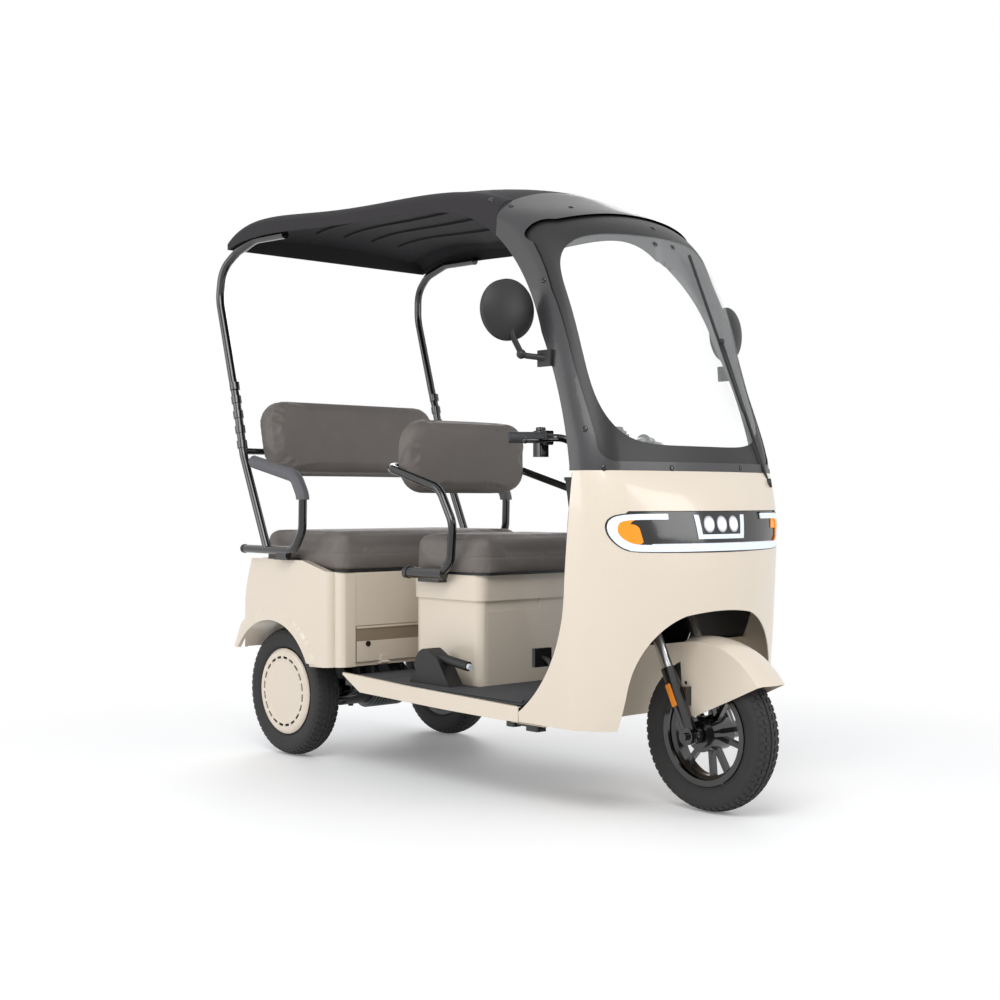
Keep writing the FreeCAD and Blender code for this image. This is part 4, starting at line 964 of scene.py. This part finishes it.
FRAME_SCREWS = [(491, 200), (511, 206), (571, 207), (543.5, 280), (585, 429), (604, 468),
                (672, 468), (741, 468), (653, 228), (673, 247)]
skin = surface_tree(LOOK["windscreen_frame"], LOOK["roof_panel"], LOOK["windscreen_glass"])
places = [seen_at(*spot, skin) for spot in FRAME_SCREWS]
near = [spot for spot in places if spot[0] is not None]
far = []
flip = Vector((1, -1, 1))
for place, normal in near:
    if min((place * flip - other).length for other, _ in near) > SCREW_SPACE:
        far.append((place * flip, normal * flip))
studs("frame_screws", near + far, "root")
print(len(near) + len(far), "frame screws")

# %% [markdown]
# Small fittings follow: two screws in the front mudguard, bright stanchions in the
# fork, grey end caps on the seat frame, and the ribs of the floor mat. The caps and
# stanchions are only a second finish on faces that the CAD already has, chosen by
# where they lie.

# %% Fork, seat frame and mudguard finishes
RAKE = math.radians(25.5)
STEM = Vector((-math.sin(RAKE), 0, math.cos(RAKE)))
FORK_Y = 80 * MM
STANCHION_R = 15 * MM


def on_stanchion(point):
    side = Vector((FRONT_HUB.x, math.copysign(FORK_Y, point.y), FRONT_HUB.z))
    off = point - side
    return (off - STEM * off.dot(STEM)).length < STANCHION_R + 0.4 * MM and off.dot(STEM) > 0.18


paint(LOOK["fork"], "bright_steel", on_stanchion)
frame_low, frame_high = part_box("driver_seat_frame")
paint(LOOK["driver_seat_frame"], "pad_grey",
      lambda p: p.z < frame_low.z + 50 * MM and p.x < frame_low.x + 26 * MM
      and abs(p.y) > frame_high.y - 45 * MM)
rest_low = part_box("rear_armrests")[0]
paint(LOOK["rear_armrests"], "gloss_black",
      lambda p: p.x < rest_low.x + 10 * MM and p.z < rest_low.z + 60 * MM)
guard = surface_tree(LOOK["front_fender"])
guard_spots = [seen_at(column, row, guard) for column, row in ((686, 682.5), (689, 702))]
guard_spots = [spot for spot in guard_spots if spot[0] is not None]
studs("mudguard_screws", guard_spots, BODY_OF["front_fender"], 0.6)

# %% [markdown]
# The mat is rubber with fine ribs along the vehicle, so that rain runs off. One rib is
# a low strip with sloping flanks, and Geometry Nodes repeat it across each clear field
# of the mat, in front of, behind and beside the seat box.

# %% Floor mat ribs
RIB_PITCH = 12 * MM
RIB_HIGH = 1.4 * MM


def row_tree(finish):
    """Repeats the given mesh along Y."""
    inputs = (("Count", "Int"), ("Pitch", "Vector"))
    tree, given, copies, sockets = copying_tree("row", finish, inputs)
    line = tree.nodes.new("GeometryNodeMeshLine")
    join = tree.links.new
    join(given.outputs["Count"], line.inputs["Count"])
    join(given.outputs["Pitch"], line.inputs["Offset"])
    join(line.outputs[0], copies.inputs["Points"])
    join(given.outputs["Geometry"], copies.inputs["Instance"])
    return tree, sockets


ROWS = row_tree("mat_rubber")


def rib_strip(x0, x1, y, z):
    """A closed strip along X with sloping flanks."""
    foot, crest = 3.4 * MM, 1.6 * MM
    section = [(-foot, -MM), (foot, -MM), (foot, 0), (crest, RIB_HIGH), (-crest, RIB_HIGH),
               (-foot, 0)]
    points = [(x, y + across, z + up) for x in (x0, x1) for across, up in section]
    n = len(section)
    faces = [tuple(reversed(range(n))), tuple(range(n, 2 * n))]
    faces += [(k, (k + 1) % n, n + (k + 1) % n, n + k) for k in range(n)]
    return closed_mesh("rib", points, faces)


mat_low, mat_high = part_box("floor_mat")
seat_low, seat_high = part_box("driver_seat_box")
EDGE = 9 * MM
fields = [(mat_low.x, seat_low.x, mat_low.y, mat_high.y),
          (seat_low.x, seat_high.x, mat_low.y, seat_low.y),
          (seat_low.x, seat_high.x, seat_high.y, mat_high.y),
          (seat_high.x, mat_high.x, mat_low.y, mat_high.y)]
ribs = []
for x0, x1, y0, y1 in fields:
    count = int((y1 - y0 - 2 * EDGE) / RIB_PITCH)
    first = (y0 + y1) / 2 - (count - 1) * RIB_PITCH / 2
    strip = rib_strip(x0 + EDGE, x1 - EDGE, first, mat_high.z)
    ribs.append(grown("row", strip, *ROWS, (count, (0, RIB_PITCH, 0))))
add_piece("mat_ribs", joined("mat_ribs", ribs), "mat_rubber", "root")

# %% [markdown]
# The light band has a white guide that bends round its ends and runs along its foot. A
# thin dark line lies outside it, and amber fills its corners. All three are ribbons laid
# on the moulding: their borders are drawn in the front view, in millimetres, and rays
# from ahead find the surface under each point. Lanes side by side follow its curve.

# %% Light guide
SHELL_STEP = 5 * MM
BEHIND_NOSE = at(1300, 0, 0).x
SEAM_SHIFTS = (0, 1.5, -1.5, 3, -3)
shell_tree = surface_tree(LOOK["front_fairing"])
band_tree = surface_tree(LOOK["headlamp_housing"])


def front_at(y, z):
    """The moulding's outer surface, also across the opening that the band fills.

    A ray that slips through the seam round the band is tried again a little off it.
    """
    way = Vector((-1, 0, 0))
    for shift in SEAM_SHIFTS:
        start = Vector((3, y * MM, (z + shift) * MM))
        outer, facing, _, _ = shell_tree.ray_cast(start, way)
        inner, normal, _, _ = band_tree.ray_cast(start, way)
        if inner is not None:
            lifted = inner + normal * SHELL_STEP
            if outer is None or lifted.x > outer.x:
                return Vector((lifted.x, y * MM, z * MM)), normal
        if outer is not None and outer.x > BEHIND_NOSE:
            return Vector((outer.x, y * MM, z * MM)), facing
    raise ValueError(f"nothing in front at {y}, {z}")


def ribbon(name, borders, finish, body, lift=1.0 * MM, sink=2.0 * MM):
    """A closed strip over two or more borders of (place, normal) pairs, side by side."""
    points, faces = [], []
    for spots in zip(*borders):
        (first, out), (last, back) = spots[0], spots[-1]
        points.append(first - out * sink)
        points += [place + normal * lift for place, normal in spots]
        points.append(last - back * sink)
    size = len(borders) + 2
    rows = len(points) // size
    for row in range(rows - 1):
        here, there = row * size, (row + 1) * size
        for side in range(size):
            after = (side + 1) % size
            faces.append((here + side, here + after, there + after, there + side))
    faces += [tuple(range(size))[::-1], tuple(range(size * (rows - 1), size * rows))]
    mesh = closed_mesh(name, points, faces)
    smooth(mesh, 40)
    return add_piece(name, mesh, finish, body)


def drawn_line(corners, steps=60, rounds=3):
    """Corners cut off again and again, then even steps along the line."""
    line = [Vector(corner) for corner in corners]
    for _ in range(rounds):
        cut = [line[0]]
        for one, two in zip(line, line[1:]):
            cut += [one.lerp(two, 0.25), one.lerp(two, 0.75)]
        line = cut + [line[-1]]
    spans = [(two - one).length for one, two in zip(line, line[1:])]
    total, made = sum(spans), []
    for step in range(steps + 1):
        left = total * step / steps
        for one, two, span in zip(line, line[1:], spans):
            if left <= span + 1e-9:
                made.append(one.lerp(two, min(left / span, 1.0)))
                break
            left -= span
        else:
            made.append(line[-1])
    return made


GUIDE_OUT = [(190, 801), (304, 801), (340, 793), (349, 768), (340, 736), (314, 710), (276, 702),
             (0, 702)]
GUIDE_IN = [(190, 786), (298, 786), (322, 781), (329, 764), (321, 742), (300, 726), (268, 720),
            (0, 720)]
CORNER_IN = [(190, 788), (270, 788), (296, 783), (300, 764), (300, 742), (290, 726), (268, 718),
             (0, 718)]
LANES = 5
RIM_WIDE = 4
LAMP_FIELD = (72 * MM, 749 * MM, 797 * MM)


def round_both_ends(half):
    """The line along one end, then mirrored back along the other."""
    line = drawn_line(half)
    return line + [Vector((-point.x, point.y)) for point in reversed(line[:-1])]


def laid(line):
    return [front_at(y, z) for y, z in line]


def lanes(outer, inner):
    """Borders laid on the moulding at even shares from one line to the other."""
    shares = [step / (LANES - 1) for step in range(LANES)]
    return [laid([one.lerp(two, share) for one, two in zip(outer, inner)]) for share in shares]


outer_line, inner_line, corner_line = (round_both_ends(half) for half in
                                       (GUIDE_OUT, GUIDE_IN, CORNER_IN))
rim_line = [one + (one - two).normalized() * RIM_WIDE
            for one, two in zip(outer_line, inner_line)]
ribbon("light_guide", lanes(outer_line, inner_line), "strip_white", "root", 1.4 * MM)
ribbon("light_corner", lanes(inner_line, corner_line), "amber_lit", "root")
ribbon("light_rim", (laid(rim_line), laid(outer_line)), "gloss_black", "root",
       0.7 * MM)
paint(LOOK["lamp_lenses"], "lamp_white",
      lambda p: abs(p.y) < LAMP_FIELD[0] and LAMP_FIELD[1] < p.z < LAMP_FIELD[2])
print(2 * LANES + 2, "borders laid round the light band")

# %% [markdown]
# Smaller marks follow. A dark edge strip runs along the rear edge of the front moulding:
# rays forward from the cabin find that edge. A small rest hangs under the right skirt,
# switches sit beside the grips, and the battery door has a lock and a recess painted a
# darker tan as painted shade.

# %% Edge strips, small blocks and door marks
EDGE_ROWS = [(232, 372), (300, 378), (400, 384), (520, 386.5), (633, 388), (785, 386),
             (906, 380)]
STRIP_LOW, STRIP_HIGH, STRIP_STEPS = 240, 908, 40
CABIN_X = 900
BEFORE_LAMPS = at(1400, 0, 0).x


def half_width(z):
    """The moulding's half width at a height, between the rows of (height, half width)."""
    for (low, one), (high, two) in zip(EDGE_ROWS, EDGE_ROWS[1:]):
        if z <= high:
            return one + (two - one) * (z - low) / (high - low)
    return EDGE_ROWS[-1][1]


def edge_strip(side, name):
    line = bpy.data.curves.new(name, "CURVE")
    line.dimensions = "3D"
    line.bevel_depth = 2.2 * MM
    line.bevel_resolution = 2
    spots = []
    for step in range(STRIP_STEPS + 1):
        z = STRIP_LOW + (STRIP_HIGH - STRIP_LOW) * step / STRIP_STEPS
        start = at(CABIN_X, side * (half_width(z) - 2), z)
        place, _, _, _ = shell_tree.ray_cast(start, Vector((1, 0, 0)))
        if place is not None and place.x < BEFORE_LAMPS:
            spots.append(place)
    run = line.splines.new("POLY")
    run.points.add(len(spots) - 1)
    for point, place in zip(run.points, spots):
        point.co = (*place, 1)
    made = bpy.data.objects.new(name, line)
    scene.collection.objects.link(made)
    bpy.context.view_layer.update()
    graph = bpy.context.evaluated_depsgraph_get()
    mesh = bpy.data.meshes.new_from_object(made.evaluated_get(graph))
    bpy.data.objects.remove(made)
    smooth(mesh, 60)
    add_piece(name, mesh, "black_plastic", "root")


edge_strip(-1, "edge_strip_right")
edge_strip(1, "edge_strip_left")

BLOCK_CORNER, BLOCK_EDGE = 5 * MM, 4 * MM
REST_BLOCKS = [((1027, -314, 206), (1060, -282, 231)), ((1052, -306, 212), (1118, -290, 226)),
               ((1110, -316, 203), (1158, -280, 228)), ((1068, -304, 222), (1086, -292, 262))]
SWITCH_BLOCKS = [((-20, 150, 960), (14, 185, 1036)), ((-14, 156, 1032), (8, 180, 1046))]


def block_mesh(corners):
    low, high = corners
    return pad_block("block", at(*low), at(*high), BLOCK_CORNER, BLOCK_EDGE)


def small_blocks(name, boxes, body):
    """One piece of soft-edged blocks, given by their low and high corners in mm."""
    mesh = joined(name, [block_mesh(corners) for corners in boxes])
    smooth(mesh, 40)
    add_piece(name, mesh, "gloss_black", body)


small_blocks("side_rest", REST_BLOCKS, "root")
GRIP_X = 1018
for side, name in ((-1, "switch_block_right"), (1, "switch_block_left")):
    boxes = []
    for (x0, y0, z0), (x1, y1, z1) in SWITCH_BLOCKS:
        near, far = sorted((side * y0, side * y1))
        boxes.append(((GRIP_X + x0, near, z0), (GRIP_X + x1, far, z1)))
    small_blocks(name, boxes, "steer")

DOOR_T = 8 * MM
RECESS_MIDDLE, RECESS_HALF = 414 * MM, 20.5 * MM
LOCK_SPOT, LOCK_R = at(344, -283, 385), 12 * MM
LEVER_END = at(852, 0, 368)
door_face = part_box("battery_door")[0].x + DOOR_T
# The recess faces of the battery door are painted a darker tan: painted shade.
paint(LOOK["battery_door"], "painted_door_shade",
      lambda p: abs(p.z - RECESS_MIDDLE) < RECESS_HALF
      and door_face - 5 * MM < p.x < door_face - 0.2 * MM)
paint(LOOK["battery_door"], "gloss_black",
      lambda p: (p - LOCK_SPOT).length < LOCK_R and p.x > door_face + 0.2 * MM)
paint(LOOK["parking_brake"], "white_plastic",
      lambda p: p.x > LEVER_END.x and p.z < LEVER_END.z)

# %% [markdown]
# The screw that served as a pattern goes.

# %% Hand over
bpy.data.objects.remove(head_source)
